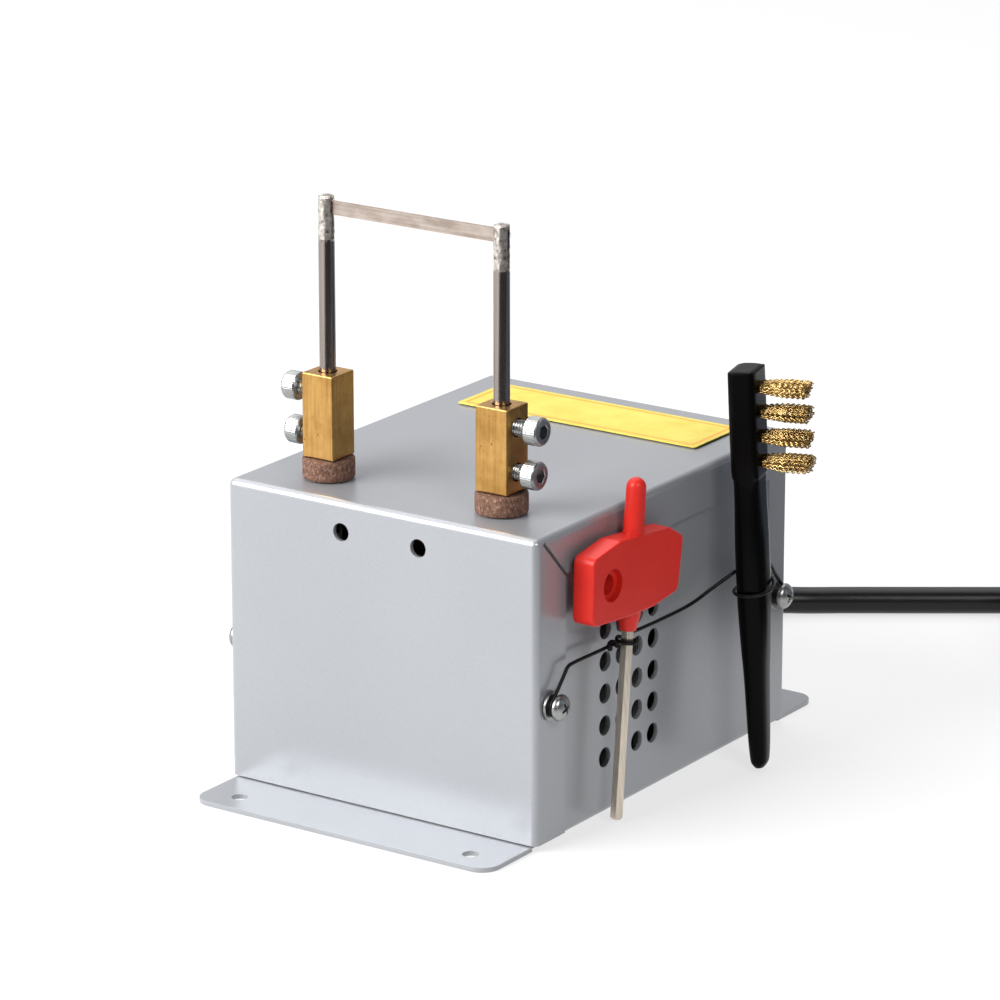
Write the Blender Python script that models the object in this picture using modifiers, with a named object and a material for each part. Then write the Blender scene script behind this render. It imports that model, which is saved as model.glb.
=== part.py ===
"""A benchtop hot-blade cutter: a folded sheet-metal transformer box with two brass posts on top.

The posts clamp two steel rods, and a thin resistance strip runs between the rods' slit ends. A hex key
for the clamp screws and a brass-wire brush hang on a wire at the right-hand side, and the mains lead
leaves through the rear wall.

The frame: metres, +Z up, +X to the right seen from the front, +Y to the rear. The origin is the centre
of the base plate's underside.
"""

import math

import bmesh
import bpy
from mathutils import Matrix, Vector

MM = 0.001
GAP = 0.3 * MM  # clearance between neighbouring pieces

# --- Enclosure -------------------------------------------------------------------------------
BOX_WIDTH = 90.0 * MM
BOX_DEPTH = 112.5 * MM
BOX_HEIGHT = 77.3 * MM
SHEET = 1.2 * MM
BEND_RADIUS = 1.8 * MM
FIT = 0.5 * MM  # the base's side walls stop this far short of the cover's inside
FLANGE_REACH = 18.3 * MM  # base plate in front of and behind the cover
FLANGE_CORNER = 5.0 * MM
FLANGE_HOLE_RADIUS = 2.0 * MM
FLANGE_HOLE_X = 34.0 * MM
FLANGE_HOLE_INSET = 7.0 * MM
SKIRT_HEIGHT = 11.1 * MM
FRONT_RETURN = 12.2 * MM
REAR_RETURN = 9.0 * MM
MITRE_SLIT = 0.9 * MM
MITRE_START = (2.9 * MM, 1.4 * MM)  # from the front and from the top
FRONT_HOLE_RADIUS = 2.25 * MM
FRONT_HOLE_X = 11.2 * MM
FRONT_HOLE_Z = 69.6 * MM

VENT_RADIUS = 2.45 * MM
VENT_COLUMNS = 4
VENT_ROWS = 5
VENT_FIRST_Y = -24.6 * MM
VENT_FIRST_Z = 14.4 * MM
VENT_STEP_Y = 7.07 * MM
VENT_STEP_Z = 8.12 * MM

COVER_SCREW_Y = 50.6 * MM
COVER_SCREW_Z = 35.5 * MM
COVER_SCREW_HOLE = 1.8 * MM
COVER_SCREW_SHANK = 1.45 * MM
COVER_SCREW_HEAD = 3.25 * MM
COVER_WASHER_RADIUS = 3.6 * MM
COVER_WASHER_THICK = 0.7 * MM
WIRE_SEAT = 1.5 * MM  # room between washer and head for the holder wire's eye

LABEL_SIZE = (71.0 * MM, 21.0 * MM, 0.3 * MM)
LABEL_Y = 38.0 * MM

# --- Posts and blade -------------------------------------------------------------------------
POST_X = 25.2 * MM
POST_Y = -41.7 * MM
BUSH_RADIUS = 6.5 * MM
BUSH_HEIGHT = 5.0 * MM
SPIGOT_RADIUS = 3.7 * MM
STUD_RADIUS = 2.5 * MM
STUD_HOLE_RADIUS = STUD_RADIUS + GAP + 0.05 * MM
BLOCK_SIDE = 9.0 * MM
BLOCK_HEIGHT = 21.0 * MM
BLOCK_BOTTOM_Z = BOX_HEIGHT + 2 * GAP + BUSH_HEIGHT
STUD_BOTTOM_Z = 63.0 * MM
STUD_COVER = 0.6 * MM  # solid brass between the stud's top and the rod's bore
BLOCK_BEVEL = 0.35 * MM
CROSS_BORE_START = 0.6 * MM  # off the block's axis, inside the rod's bore
ROD_RADIUS = 2.0 * MM
ROD_HOLE_RADIUS = ROD_RADIUS + GAP + 0.1 * MM
ROD_HOLE_FLOOR_Z = BLOCK_BOTTOM_Z + 1.8 * MM
ROD_TOP_Z = 147.2 * MM
SLIT_DEPTH = 10.5 * MM
STRIP_HEIGHT = 3.5 * MM
STRIP_THICK = 0.3 * MM
STRIP_TOP_Z = ROD_TOP_Z - 1.0 * MM
SLIT_WIDTH = STRIP_THICK + 2 * GAP
CLAMP_HEIGHTS = {"lower": 5.0 * MM, "upper": 15.9 * MM}  # above the block's underside
CLAMP_STANDOFF = {"lower": 2.6 * MM, "upper": 3.4 * MM}  # bare thread between block and head
CLAMP_THREAD_RADIUS = 2.0 * MM
CLAMP_HEAD_RADIUS = 3.5 * MM
CLAMP_HEAD_HEIGHT = 4.0 * MM
CLAMP_HEX_FLATS = 3.1 * MM
CLAMP_HEX_DEPTH = 2.0 * MM
LOWER_INSULATOR_THICK = 3.0 * MM
STRAP_WIDTH = 10.0 * MM
STRAP_THICK = 1.4 * MM
STRAP_OVERHANG = 5.5 * MM  # in front of the stud's axis
STRAP_END_Z = 38.0 * MM
STRAP_BEND = 2.5 * MM
NUT_FLATS = 8.0 * MM
NUT_THICK = 4.0 * MM

# --- Transformer: an EI 76 core standing on its yoke -----------------------------------------------
CORE_Y = 3.0 * MM
CORE_WIDTH = 76.2 * MM
CORE_HEIGHT = 63.5 * MM
CORE_STACK = 38.0 * MM
CORE_LEG = 25.4 * MM
CORE_YOKE = 12.7 * MM
CORE_BOTTOM_Z = SHEET + GAP
BOBBIN_WALL = 1.0 * MM
BOBBIN_RIM = 0.4 * MM  # the flanges stand this far proud of the secondary
PRIMARY_BUILD = 5.0 * MM
SECONDARY_BUILD = 4.6 * MM
FOOT_THICK = 1.5 * MM
FOOT_REACH = 12.5 * MM
FOOT_HEIGHT = 12.0 * MM
FOOT_SCREW_X = 31.0 * MM
CORE_BOLT_X = 33.0 * MM
CORE_BOLT_INSET = 6.0 * MM
CORE_BOLT_RADIUS = 1.9 * MM
CORE_BOLT_HEAD_RADIUS = 3.4 * MM
CORE_BOLT_HEAD_HEIGHT = 2.6 * MM

# --- Mains side ----------------------------------------------------------------------------------
CORD_RADIUS = 3.6 * MM
CORD_SPACING = 2.5 * CORD_RADIUS  # between the rings of its mesh
GLAND_X = -14.0 * MM
GLAND_Z = 20.0 * MM
GLAND_LENGTH = 26.0 * MM
GLAND_HOLE_RADIUS = 5.5 * MM
TERMINAL_SIZE = (24.0 * MM, 10.0 * MM, 12.0 * MM)
TERMINAL_PLACE = (8.0 * MM, 43.6 * MM)
TERMINAL_ENTRY_Z = SHEET + GAP + 5.0 * MM
CORE_WIRE_RADIUS = 0.9 * MM
LEAD_RADIUS = 0.7 * MM
COIL_CENTRE = Vector((114.4, 154.3, 0.0)) * MM
COIL_OUTER_TURN = 44.4 * MM  # radius of the outer turns' centre line
COIL_INNER_TURN = 37.1 * MM
COIL_LAYERS = 3
TURN_PITCH = 7.3 * MM
PLUG_FACE_Y = 52.0 * MM
PLUG_AXIS_X = 157.0 * MM
PLUG_WIDTH = 28.0 * MM
PLUG_THICK = 24.0 * MM
PLUG_LENGTH = 36.0 * MM
PLUG_TAIL = 18.0 * MM  # the plug's own strain relief
PLUG_AXIS_Z = PLUG_THICK / 2
PIN_SIZE = (6.3 * MM, 1.6 * MM, 17.0 * MM)
PIN_BEVEL = 0.3 * MM

# --- Hex key, in its own upright frame with the shank's tip at its origin ------------------------
KEY_TIP = Vector((49.5, -28.6, 1.2)) * MM
KEY_LEAN = math.radians(5.4)  # the top leans to the rear
KEY_FLATS = 2.9 * MM
KEY_SHANK_LENGTH = 62.0 * MM
KEY_THICK = 6.0 * MM
KEY_NECK_Z = 46.7 * MM
KEY_PEG_RADIUS = 2.3 * MM
KEY_PEG_TOP = 84.0 * MM
KEY_HOLE = (-12.4 * MM, 60.2 * MM)
KEY_HOLE_RADIUS = 2.5 * MM
KEY_COUNTERBORE_RADIUS = 4.0 * MM
# (y, z) of the flag's outline, in millimetres
KEY_FLAG_CORNERS = [
    (-20.2, 51.2),
    (-21.3, 67.6),
    (-10.0, 70.5),
    (12.0, 70.4),
    (18.3, 67.4),
    (17.3, 54.1),
    (7.0, 51.7),
    (-4.0, 51.0),
]

# --- Brush, in its own upright frame with the handle's tip at its origin --------------------------
BRUSH_TIP = Vector((58.5, 22.7, 1.0)) * MM
BRUSH_LEAN = math.radians(3.25)  # the head leans towards the box
BRUSH_TURN = math.radians(15.0)  # the bristles point outward and a little to the rear
TUFT_HEIGHTS = [77.8 * MM + 6.15 * MM * k for k in range(4)]
TUFT_RISE = math.tan(math.radians(-1.5))  # the bristles point a little down the handle
# (distance from the root, half height, half width) of a tuft's cross-sections, in millimetres
TUFT_SECTIONS = [(0.0, 1.5, 3.4), (2.0, 1.9, 3.8), (8.0, 2.25, 4.4), (12.4, 2.4, 4.6)]
# (height, thickness, width) of the handle's cross-sections, in millimetres
BRUSH_SECTIONS = [
    (0.0, 2.6, 4.6),
    (1.2, 3.8, 6.0),
    (4.0, 4.6, 6.8),
    (14.0, 5.3, 7.9),
    (23.0, 5.7, 8.6),
    (32.0, 6.6, 9.6),
    (43.0, 7.3, 10.5),
    (56.0, 7.4, 10.8),
    (68.0, 6.6, 10.2),
    (73.0, 6.5, 10.2),
    (77.0, 6.9, 11.4),
    (98.0, 6.9, 11.6),
    (100.4, 6.3, 10.8),
    (101.3, 4.8, 9.0),
]

WIRE_RADIUS = 0.45 * MM


# --- Scene helpers ---------------------------------------------------------------------------------


def clear_scene():
    for obj in list(bpy.data.objects):
        bpy.data.objects.remove(obj, do_unlink=True)


def new_collection(name):
    collection = bpy.data.collections.new(name)
    bpy.context.scene.collection.children.link(collection)
    return collection


def new_empty(name, location=(0, 0, 0), rotation=(0, 0, 0), parent=None):
    empty = bpy.data.objects.new(name, None)
    empty.location = location
    empty.rotation_euler = rotation
    empty.parent = parent
    PARTS.objects.link(empty)
    return empty


def material(name, color, roughness, metallic=0.0):
    mat = bpy.data.materials.new(name)
    mat.use_nodes = True
    shader = mat.node_tree.nodes["Principled BSDF"]
    shader.inputs["Base Color"].default_value = (*color, 1.0)
    shader.inputs["Roughness"].default_value = roughness
    shader.inputs["Metallic"].default_value = metallic
    return mat


def place(obj, mat=None, location=(0, 0, 0), rotation=(0, 0, 0), parent=None, smooth=None):
    """Puts a part in its collection with its material, place and parent."""
    PARTS.objects.link(obj)
    obj.location = location
    obj.rotation_euler = rotation
    obj.parent = parent
    obj.data.materials.append(mat)
    if smooth is not None and obj.type == "MESH":
        obj.data.shade_smooth()
        obj.data.set_sharp_from_angle(angle=math.radians(smooth))
    return obj


def as_cutter(obj):
    CUTTERS.objects.link(obj)
    obj.hide_render = True
    obj.display_type = "WIRE"
    return obj


def mesh_object(name, bm):
    bmesh.ops.recalc_face_normals(bm, faces=bm.faces)
    mesh = bpy.data.meshes.new(name)
    bm.to_mesh(mesh)
    bm.free()
    return bpy.data.objects.new(name, mesh)


def boolean(obj, other, operation="DIFFERENCE"):
    mod = obj.modifiers.new(operation.lower(), "BOOLEAN")
    mod.operation = operation
    mod.solver = "EXACT"
    mod.object = other
    return obj


# --- Shape helpers ---------------------------------------------------------------------------------


def add_box(bm, low, high, rotation=None):
    low, high = Vector(low), Vector(high)
    turn = rotation.to_4x4() if rotation else Matrix.Identity(4)
    size = Matrix.Diagonal((high - low).to_4d())
    size[3][3] = 1.0
    matrix = Matrix.Translation((low + high) / 2) @ turn @ size
    return bmesh.ops.create_cube(bm, size=1.0, matrix=matrix)["verts"]


def add_cylinder(bm, radius, start, end, segments=16):
    start, end = Vector(start), Vector(end)
    axis = end - start
    turn = axis.to_track_quat("Z", "Y").to_matrix().to_4x4()
    bmesh.ops.create_cone(
        bm,
        cap_ends=True,
        segments=segments,
        radius1=radius,
        radius2=radius,
        depth=axis.length,
        matrix=Matrix.Translation((start + end) / 2) @ turn,
    )


def box(name, low, high, bevel=0.0, segments=1):
    bm = bmesh.new()
    add_box(bm, low, high)
    if bevel:
        bmesh.ops.bevel(bm, geom=bm.edges[:], offset=bevel, segments=segments, affect="EDGES", profile=0.5)
    return mesh_object(name, bm)


def cylinders(name, rows, segments=16):
    """One mesh of separate cylinders, each given as (radius, start, end)."""
    bm = bmesh.new()
    for radius, start, end in rows:
        add_cylinder(bm, radius, start, end, segments)
    return mesh_object(name, bm)


def turned(name, profile, steps=24):
    """A solid of revolution about local Z. The profile of (radius, z) runs from the top down."""
    mesh = bpy.data.meshes.new(name)
    edges = [(k, k + 1) for k in range(len(profile) - 1)]
    mesh.from_pydata([(r, 0.0, z) for r, z in profile], edges, [])
    obj = bpy.data.objects.new(name, mesh)
    screw = obj.modifiers.new("turn", "SCREW")
    screw.steps = screw.render_steps = steps
    screw.use_merge_vertices = True
    screw.merge_threshold = 1e-6
    return obj


def turned_ring(name, profile, steps=24):
    """A closed profile of (radius, z), off the axis, turned about local Z."""
    bm = bmesh.new()
    rings = []
    for k in range(steps):
        angle = 2 * math.pi * k / steps
        rings.append([bm.verts.new((r * math.cos(angle), r * math.sin(angle), z)) for r, z in profile])
    for k, ring in enumerate(rings):
        following = rings[(k + 1) % steps]
        for i in range(len(profile)):
            j = (i + 1) % len(profile)
            bm.faces.new((ring[i], following[i], following[j], ring[j]))
    return mesh_object(name, bm)


def arc(centre, radius, start, end, steps):
    """Points on an arc in a plane, from one angle to another, in degrees."""
    angles = [math.radians(start + (end - start) * k / steps) for k in range(steps + 1)]
    return [(centre[0] + radius * math.cos(a), centre[1] + radius * math.sin(a)) for a in angles]


def fillet(corners, radius, steps=4, closed=True):
    """An outline with each corner rounded to the radius."""
    count = len(corners)
    outline = []
    for k, corner in enumerate(corners):
        here = Vector(corner)
        if not closed and k in (0, count - 1):
            outline.append(tuple(here))
            continue
        back = (Vector(corners[k - 1]) - here).normalized()
        ahead = (Vector(corners[(k + 1) % count]) - here).normalized()
        half = back.angle(ahead) / 2
        centre = here + (back + ahead).normalized() * radius / math.sin(half)
        reach = radius / math.tan(half)
        first, last = here + back * reach - centre, here + ahead * reach - centre
        sweep = first.angle_signed(last)
        for step in range(steps + 1):
            spoke = first.copy()
            spoke.rotate(Matrix.Rotation(-sweep * step / steps, 2))
            outline.append(tuple(centre + spoke))
    return outline


def prism(name, outline, low, high, axis="X", bevel=0.0):
    """A flat outline given in the two other axes, extruded along one axis."""
    spread = {
        "X": lambda a, b, c: (c, a, b),
        "Y": lambda a, b, c: (a, c, b),
        "Z": lambda a, b, c: (a, b, c),
    }[axis]
    bm = bmesh.new()
    bottom = bm.faces.new([bm.verts.new(spread(a, b, low)) for a, b in outline])
    grown = bmesh.ops.extrude_face_region(bm, geom=[bottom])
    shift = Vector(spread(0.0, 0.0, high - low))
    moved = [v for v in grown["geom"] if isinstance(v, bmesh.types.BMVert)]
    bmesh.ops.translate(bm, verts=moved, vec=shift)
    if bevel:
        rims = [e for e in bm.edges if any(len(f.verts) == len(outline) for f in e.link_faces)]
        bmesh.ops.bevel(bm, geom=rims, offset=bevel, segments=2, affect="EDGES", profile=0.5)
    return mesh_object(name, bm)


def loft(name, sections):
    """A closed skin over sections, each a list of points with the same count, and flat ends."""
    bm = bmesh.new()
    rings = [[bm.verts.new(p) for p in section] for section in sections]
    for low, high in zip(rings, rings[1:]):
        for k in range(len(low)):
            j = (k + 1) % len(low)
            bm.faces.new((low[k], low[j], high[j], high[k]))
    bm.faces.new(rings[0][::-1])
    bm.faces.new(rings[-1])
    return mesh_object(name, bm)


def superellipse(half_a, half_b, power, count, place_point):
    """Points round a rounded rectangle of the given half sizes."""
    points = []
    for k in range(count):
        angle = 2 * math.pi * (k + 0.5) / count
        a, b = math.cos(angle), math.sin(angle)
        a = math.copysign(abs(a) ** (2 / power), a) * half_a
        b = math.copysign(abs(b) ** (2 / power), b) * half_b
        points.append(place_point(a, b))
    return points


def tube(name, points, radius, resolution=2):
    curve = bpy.data.curves.new(name, "CURVE")
    curve.dimensions = "3D"
    curve.bevel_depth = radius
    curve.bevel_resolution = resolution
    curve.use_fill_caps = True
    spline = curve.splines.new("POLY")
    spline.points.add(len(points) - 1)
    for point, place_at in zip(spline.points, points):
        point.co = (*place_at, 1.0)
    return bpy.data.objects.new(name, curve)


def smooth_route(points, spacing):
    """Points at about the given spacing on a smooth curve through the route's own points."""
    points = [Vector(p) for p in points]
    ends = [2 * points[0] - points[1], *points, 2 * points[-1] - points[-2]]
    route = [points[0]]
    for a, b, c, d in zip(ends, ends[1:], ends[2:], ends[3:]):
        steps = max(1, round((c - b).length / spacing))
        for k in range(1, steps + 1):
            t = k / steps
            cubic = (3 * b - a - 3 * c + d) * t**3
            route.append(0.5 * (2 * b + (c - a) * t + (2 * a - 5 * b + 4 * c - d) * t**2 + cubic))
    return route


# --- Enclosure -------------------------------------------------------------------------------------


def base_chassis():
    """Base plate, its front and rear fixing flanges and the two side walls, folded from one sheet."""
    half = BOX_WIDTH / 2 - SHEET - GAP
    side_y = BOX_DEPTH / 2 - SHEET - FIT
    side_top = BOX_HEIGHT - SHEET - FIT
    flat = half - BEND_RADIUS
    tip_y = BOX_DEPTH / 2 + FLANGE_REACH
    right = arc((flat, BEND_RADIUS), BEND_RADIUS, -90, 0, 3) + [(half, side_top)]
    profile = [(-x, z) for x, z in reversed(right)] + right
    bm = bmesh.new()
    front = [bm.verts.new((x, -side_y, z)) for x, z in profile]
    rear = [bm.verts.new((x, side_y, z)) for x, z in profile]
    for k in range(len(profile) - 1):
        bm.faces.new((front[k], rear[k], rear[k + 1], front[k + 1]))
    corner = arc((half - FLANGE_CORNER, tip_y - FLANGE_CORNER), FLANGE_CORNER, 0, 90, 5)
    edge = [(half, side_y + SHEET)] + corner
    outline = edge + [(-x, y) for x, y in reversed(edge)]
    foot = [k for k, (x, z) in enumerate(profile) if z < 1e-6]
    for row, sign in ((front, -1), (rear, 1)):
        plate = [bm.verts.new((x, sign * y, 0.0)) for x, y in outline]
        bm.faces.new([row[foot[1]], *plate, row[foot[0]]])
    obj = mesh_object("base_chassis", bm)
    if obj.data.polygons[len(profile) // 2 - 1].normal.z > 0:
        obj.data.flip_normals()
    thick = obj.modifiers.new("sheet", "SOLIDIFY")
    thick.thickness = SHEET
    thick.offset = -1.0
    thick.use_even_offset = True

    reach = BOX_WIDTH
    vents = []
    for column in range(VENT_COLUMNS):
        for row in range(VENT_ROWS):
            y, z = VENT_FIRST_Y + VENT_STEP_Y * column, VENT_FIRST_Z + VENT_STEP_Z * row
            vents.append((VENT_RADIUS, (-reach, y, z), (reach, y, z)))
    boolean(obj, as_cutter(cylinders("vent_cutter", vents, 12)))
    holes = cover_screw_holes(reach)
    fixing_y = tip_y - FLANGE_HOLE_INSET
    for x in (-FLANGE_HOLE_X, FLANGE_HOLE_X):
        for y in (-fixing_y, fixing_y):
            holes.append((FLANGE_HOLE_RADIUS, (x, y, -SHEET), (x, y, 2 * SHEET)))
    for x, y in foot_screw_places():
        holes.append((COVER_SCREW_HOLE, (x, y, -SHEET), (x, y, 2 * SHEET)))
    boolean(obj, as_cutter(cylinders("chassis_hole_cutter", holes, 12)))
    return place(obj, PAINT)


def cover_screw_holes(reach):
    """Cutters through both side walls, as (radius, start, end)."""
    return [
        (COVER_SCREW_HOLE, (-reach, y, COVER_SCREW_Z), (reach, y, COVER_SCREW_Z))
        for y in (-COVER_SCREW_Y, COVER_SCREW_Y)
    ]


def cover():
    """Top, front and rear walls with their side returns: a rounded box, hollowed and open below."""
    low_z = SHEET + GAP

    def rounded(name, half_x, half_y, low, top, radius):
        bm = bmesh.new()
        add_box(bm, (-half_x, -half_y, low), (half_x, half_y, top))
        edges = [e for e in bm.edges if max(v.co.z for v in e.verts) > top - 1e-6]
        bmesh.ops.bevel(bm, geom=edges, offset=radius, segments=3, affect="EDGES", profile=0.5)
        return mesh_object(name, bm)

    half_x, half_y = BOX_WIDTH / 2, BOX_DEPTH / 2
    obj = rounded("cover", half_x, half_y, low_z, BOX_HEIGHT, BEND_RADIUS)
    ceiling = BOX_HEIGHT - SHEET
    inner_bend = BEND_RADIUS - SHEET
    inside = rounded("cover_inside_cutter", half_x - SHEET, half_y - SHEET, -SHEET, ceiling, inner_bend)
    boolean(obj, as_cutter(inside))
    window = box(
        "cover_window_cutter",
        (-BOX_WIDTH, FRONT_RETURN - half_y, -SHEET),
        (BOX_WIDTH, half_y - REAR_RETURN, BOX_HEIGHT - SKIRT_HEIGHT),
    )
    boolean(obj, as_cutter(window))
    bm = bmesh.new()
    outer = Vector((MITRE_START[0] - half_y, BOX_HEIGHT - MITRE_START[1]))
    inner = Vector((FRONT_RETURN + MITRE_SLIT - half_y, BOX_HEIGHT - SKIRT_HEIGHT - MITRE_SLIT))
    centre, run = (outer + inner) / 2, inner - outer
    turn = Matrix.Rotation(math.atan2(run.y, run.x), 3, "X")
    half = Vector((SHEET, run.length / 2, MITRE_SLIT / 2))
    for side in (-1, 1):
        middle = Vector((side * (half_x - SHEET / 2), centre.x, centre.y))
        add_box(bm, middle - half, middle + half, turn)
    boolean(obj, as_cutter(mesh_object("cover_mitre_cutter", bm)))
    holes = cover_screw_holes(BOX_DEPTH)
    outside, through = half_y + SHEET, half_y - 2 * SHEET
    for x in (-FRONT_HOLE_X, FRONT_HOLE_X):
        holes.append((FRONT_HOLE_RADIUS, (x, -outside, FRONT_HOLE_Z), (x, -through, FRONT_HOLE_Z)))
    above, below = BOX_HEIGHT + SHEET, BOX_HEIGHT - 2 * SHEET
    for x in (-POST_X, POST_X):
        holes.append((SPIGOT_RADIUS + GAP, (x, POST_Y, below), (x, POST_Y, above)))
    holes.append((GLAND_HOLE_RADIUS, (GLAND_X, through, GLAND_Z), (GLAND_X, outside, GLAND_Z)))
    boolean(obj, as_cutter(cylinders("cover_hole_cutter", holes, 16)))
    return place(obj, PAINT)


def cover_screws():
    """Four pan-head screws with captive washers; the right-hand pair also holds the wire's eyes."""
    for side, side_name in ((-1, "left"), (1, "right")):
        for end, end_name in ((-1, "front"), (1, "rear")):
            seat = GAP + COVER_WASHER_THICK
            head = seat + (WIRE_SEAT if side > 0 else 0.0)
            profile = [(0.0, head + 2.2 * MM), (1.8 * MM, head + 1.9 * MM), (2.9 * MM, head + 1.2 * MM)]
            profile.append((COVER_SCREW_HEAD, head))
            if side > 0:
                profile += [(COVER_SCREW_SHANK, head), (COVER_SCREW_SHANK, seat)]
            profile += [
                (COVER_WASHER_RADIUS, seat),
                (COVER_WASHER_RADIUS, GAP),
                (COVER_SCREW_SHANK, GAP),
                (COVER_SCREW_SHANK, -5.0 * MM),
                (0.0, -5.0 * MM),
            ]
            obj = turned(f"cover_screw_{end_name}_{side_name}", profile, 16)
            spot = (side * BOX_WIDTH / 2, end * COVER_SCREW_Y, COVER_SCREW_Z)
            place(obj, ZINC, spot, (0, side * math.pi / 2, 0), MACHINE, smooth=40)


def top_label():
    width, depth, thick = LABEL_SIZE
    low = (-width / 2, LABEL_Y - depth / 2, BOX_HEIGHT + GAP)
    high = (width / 2, LABEL_Y + depth / 2, BOX_HEIGHT + GAP + thick)
    place(box("top_label", low, high), LABEL_YELLOW, parent=MACHINE)


# --- Posts and blade -------------------------------------------------------------------------------


def insulators(side, side_name):
    """The fibre bush that stands on the cover and the washer under it."""
    bore = STUD_HOLE_RADIUS
    top = BUSH_HEIGHT
    profile = [
        (bore, top),
        (BUSH_RADIUS, top),
        (BUSH_RADIUS, 0.0),
        (SPIGOT_RADIUS, 0.0),
        (SPIGOT_RADIUS, -SHEET - GAP),
        (bore, -SHEET - GAP),
    ]
    spot = (side * POST_X, POST_Y, BOX_HEIGHT + GAP)
    place(turned_ring(f"insulating_bush_{side_name}", profile), FIBRE, spot, parent=MACHINE, smooth=40)
    thick = LOWER_INSULATOR_THICK
    lower = [(bore, 0.0), (BUSH_RADIUS, 0.0), (BUSH_RADIUS, -thick), (bore, -thick)]
    spot = (side * POST_X, POST_Y, lower_insulator_top())
    place(turned_ring(f"lower_insulator_{side_name}", lower), FIBRE, spot, parent=MACHINE, smooth=40)


def lower_insulator_top():
    return BOX_HEIGHT - SHEET - 2 * GAP


def strap_top():
    return lower_insulator_top() - LOWER_INSULATOR_THICK - GAP


def terminal_block(side, side_name):
    """Square brass post with its stud, the rod's bore and the two tapped cross holes."""
    half = BLOCK_SIDE / 2
    name = f"terminal_block_{side_name}"
    obj = box(name, (-half, -half, 0.0), (half, half, BLOCK_HEIGHT), bevel=BLOCK_BEVEL)
    stud_low, stud_high = STUD_BOTTOM_Z - BLOCK_BOTTOM_Z, ROD_HOLE_FLOOR_Z - BLOCK_BOTTOM_Z - STUD_COVER
    stud = cylinders(f"stud_{side_name}", [(STUD_RADIUS, (0, 0, stud_low), (0, 0, stud_high))], 16)
    bores = [(ROD_HOLE_RADIUS, (0, 0, ROD_HOLE_FLOOR_Z - BLOCK_BOTTOM_Z), (0, 0, 2 * BLOCK_HEIGHT))]
    inner, outer = side * CROSS_BORE_START, side * BLOCK_SIDE
    for height in CLAMP_HEIGHTS.values():
        bores.append((CLAMP_THREAD_RADIUS + GAP, (inner, 0, height), (outer, 0, height)))
    spot = (side * POST_X, POST_Y, BLOCK_BOTTOM_Z)
    as_cutter(stud).location = spot
    boolean(obj, stud, "UNION")
    for k, bore in enumerate(bores):
        cutter = as_cutter(cylinders(f"bore_cutter_{side_name}_{k}", [bore], 18 if k else 16))
        cutter.location = spot
        boolean(obj, cutter)
    return place(obj, BRASS, spot, parent=MACHINE)


def terminal_nut(side, side_name):
    top = strap_top() - STRAP_THICK - GAP
    corner = NUT_FLATS / 2 / math.cos(math.pi / 6)
    obj = cylinders(f"terminal_nut_{side_name}", [(corner, (0, 0, -NUT_THICK), (0, 0, 0))], 6)
    spot = (side * POST_X, POST_Y, top)
    through = (STUD_HOLE_RADIUS, (0, 0, -2 * NUT_THICK), (0, 0, NUT_THICK))
    bore = as_cutter(cylinders(f"nut_bore_{side_name}", [through]))
    bore.location = spot
    place(boolean(obj, bore), BRASS, spot, parent=MACHINE)


def clamp_screws(side, side_name):
    """Socket-head screws that press on the rod from the outer face of the block."""
    for level, height in CLAMP_HEIGHTS.items():
        head = CLAMP_STANDOFF[level]
        tip = ROD_RADIUS + GAP - BLOCK_SIDE / 2
        top = head + CLAMP_HEAD_HEIGHT
        rim = CLAMP_HEAD_RADIUS
        profile = [
            (0.0, top),
            (rim - 0.4 * MM, top),
            (rim, top - 0.4 * MM),
            (rim, head),
            (CLAMP_THREAD_RADIUS, head),
            (CLAMP_THREAD_RADIUS, tip + 0.4 * MM),
            (CLAMP_THREAD_RADIUS - 0.4 * MM, tip),
            (0.0, tip),
        ]
        name = f"clamp_screw_{side_name}_{level}"
        obj = turned(name, profile, 16)
        corner = CLAMP_HEX_FLATS / 2 / math.cos(math.pi / 6)
        recess = (corner, (0, 0, top - CLAMP_HEX_DEPTH), (0, 0, top + CLAMP_HEX_DEPTH))
        socket = cylinders(f"{name}_socket", [recess], 6)
        spot = (side * (POST_X + BLOCK_SIDE / 2), POST_Y, BLOCK_BOTTOM_Z + height)
        turn = (0, side * math.pi / 2, 0)
        socket.location, socket.rotation_euler = spot, turn
        place(boolean(obj, as_cutter(socket)), ZINC, spot, turn, smooth=40)


def blade_head():
    """The two rods and the strip between their slit ends, which lift out of the blocks together."""
    head = new_empty("blade_head", (0, POST_Y, ROD_HOLE_FLOOR_Z + GAP), parent=MACHINE)
    length = ROD_TOP_Z - ROD_HOLE_FLOOR_Z - GAP
    for side, side_name in ((-1, "left"), (1, "right")):
        chamfer = 0.4 * MM
        profile = [
            (0.0, length),
            (ROD_RADIUS - chamfer, length),
            (ROD_RADIUS, length - chamfer),
            (ROD_RADIUS, chamfer),
            (ROD_RADIUS - chamfer, 0.0),
            (0.0, 0.0),
        ]
        rod = turned(f"electrode_rod_{side_name}", profile, 16)
        slit = box(
            f"slit_cutter_{side_name}",
            (-2 * ROD_RADIUS, -SLIT_WIDTH / 2, ROD_TOP_Z - SLIT_DEPTH),
            (2 * ROD_RADIUS, SLIT_WIDTH / 2, ROD_TOP_Z + SLIT_DEPTH),
        )
        slit.location = (side * POST_X, POST_Y, 0)
        place(boolean(rod, as_cutter(slit)), STEEL, (side * POST_X, 0, 0), parent=head, smooth=40)
    half = POST_X + ROD_RADIUS - 0.4 * MM
    top = STRIP_TOP_Z - ROD_HOLE_FLOOR_Z - GAP
    depth = STRIP_THICK / 2
    strip = box("resistance_strip", (-half, -depth, top - STRIP_HEIGHT), (half, depth, top))
    place(strip, NICHROME, parent=head)


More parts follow.
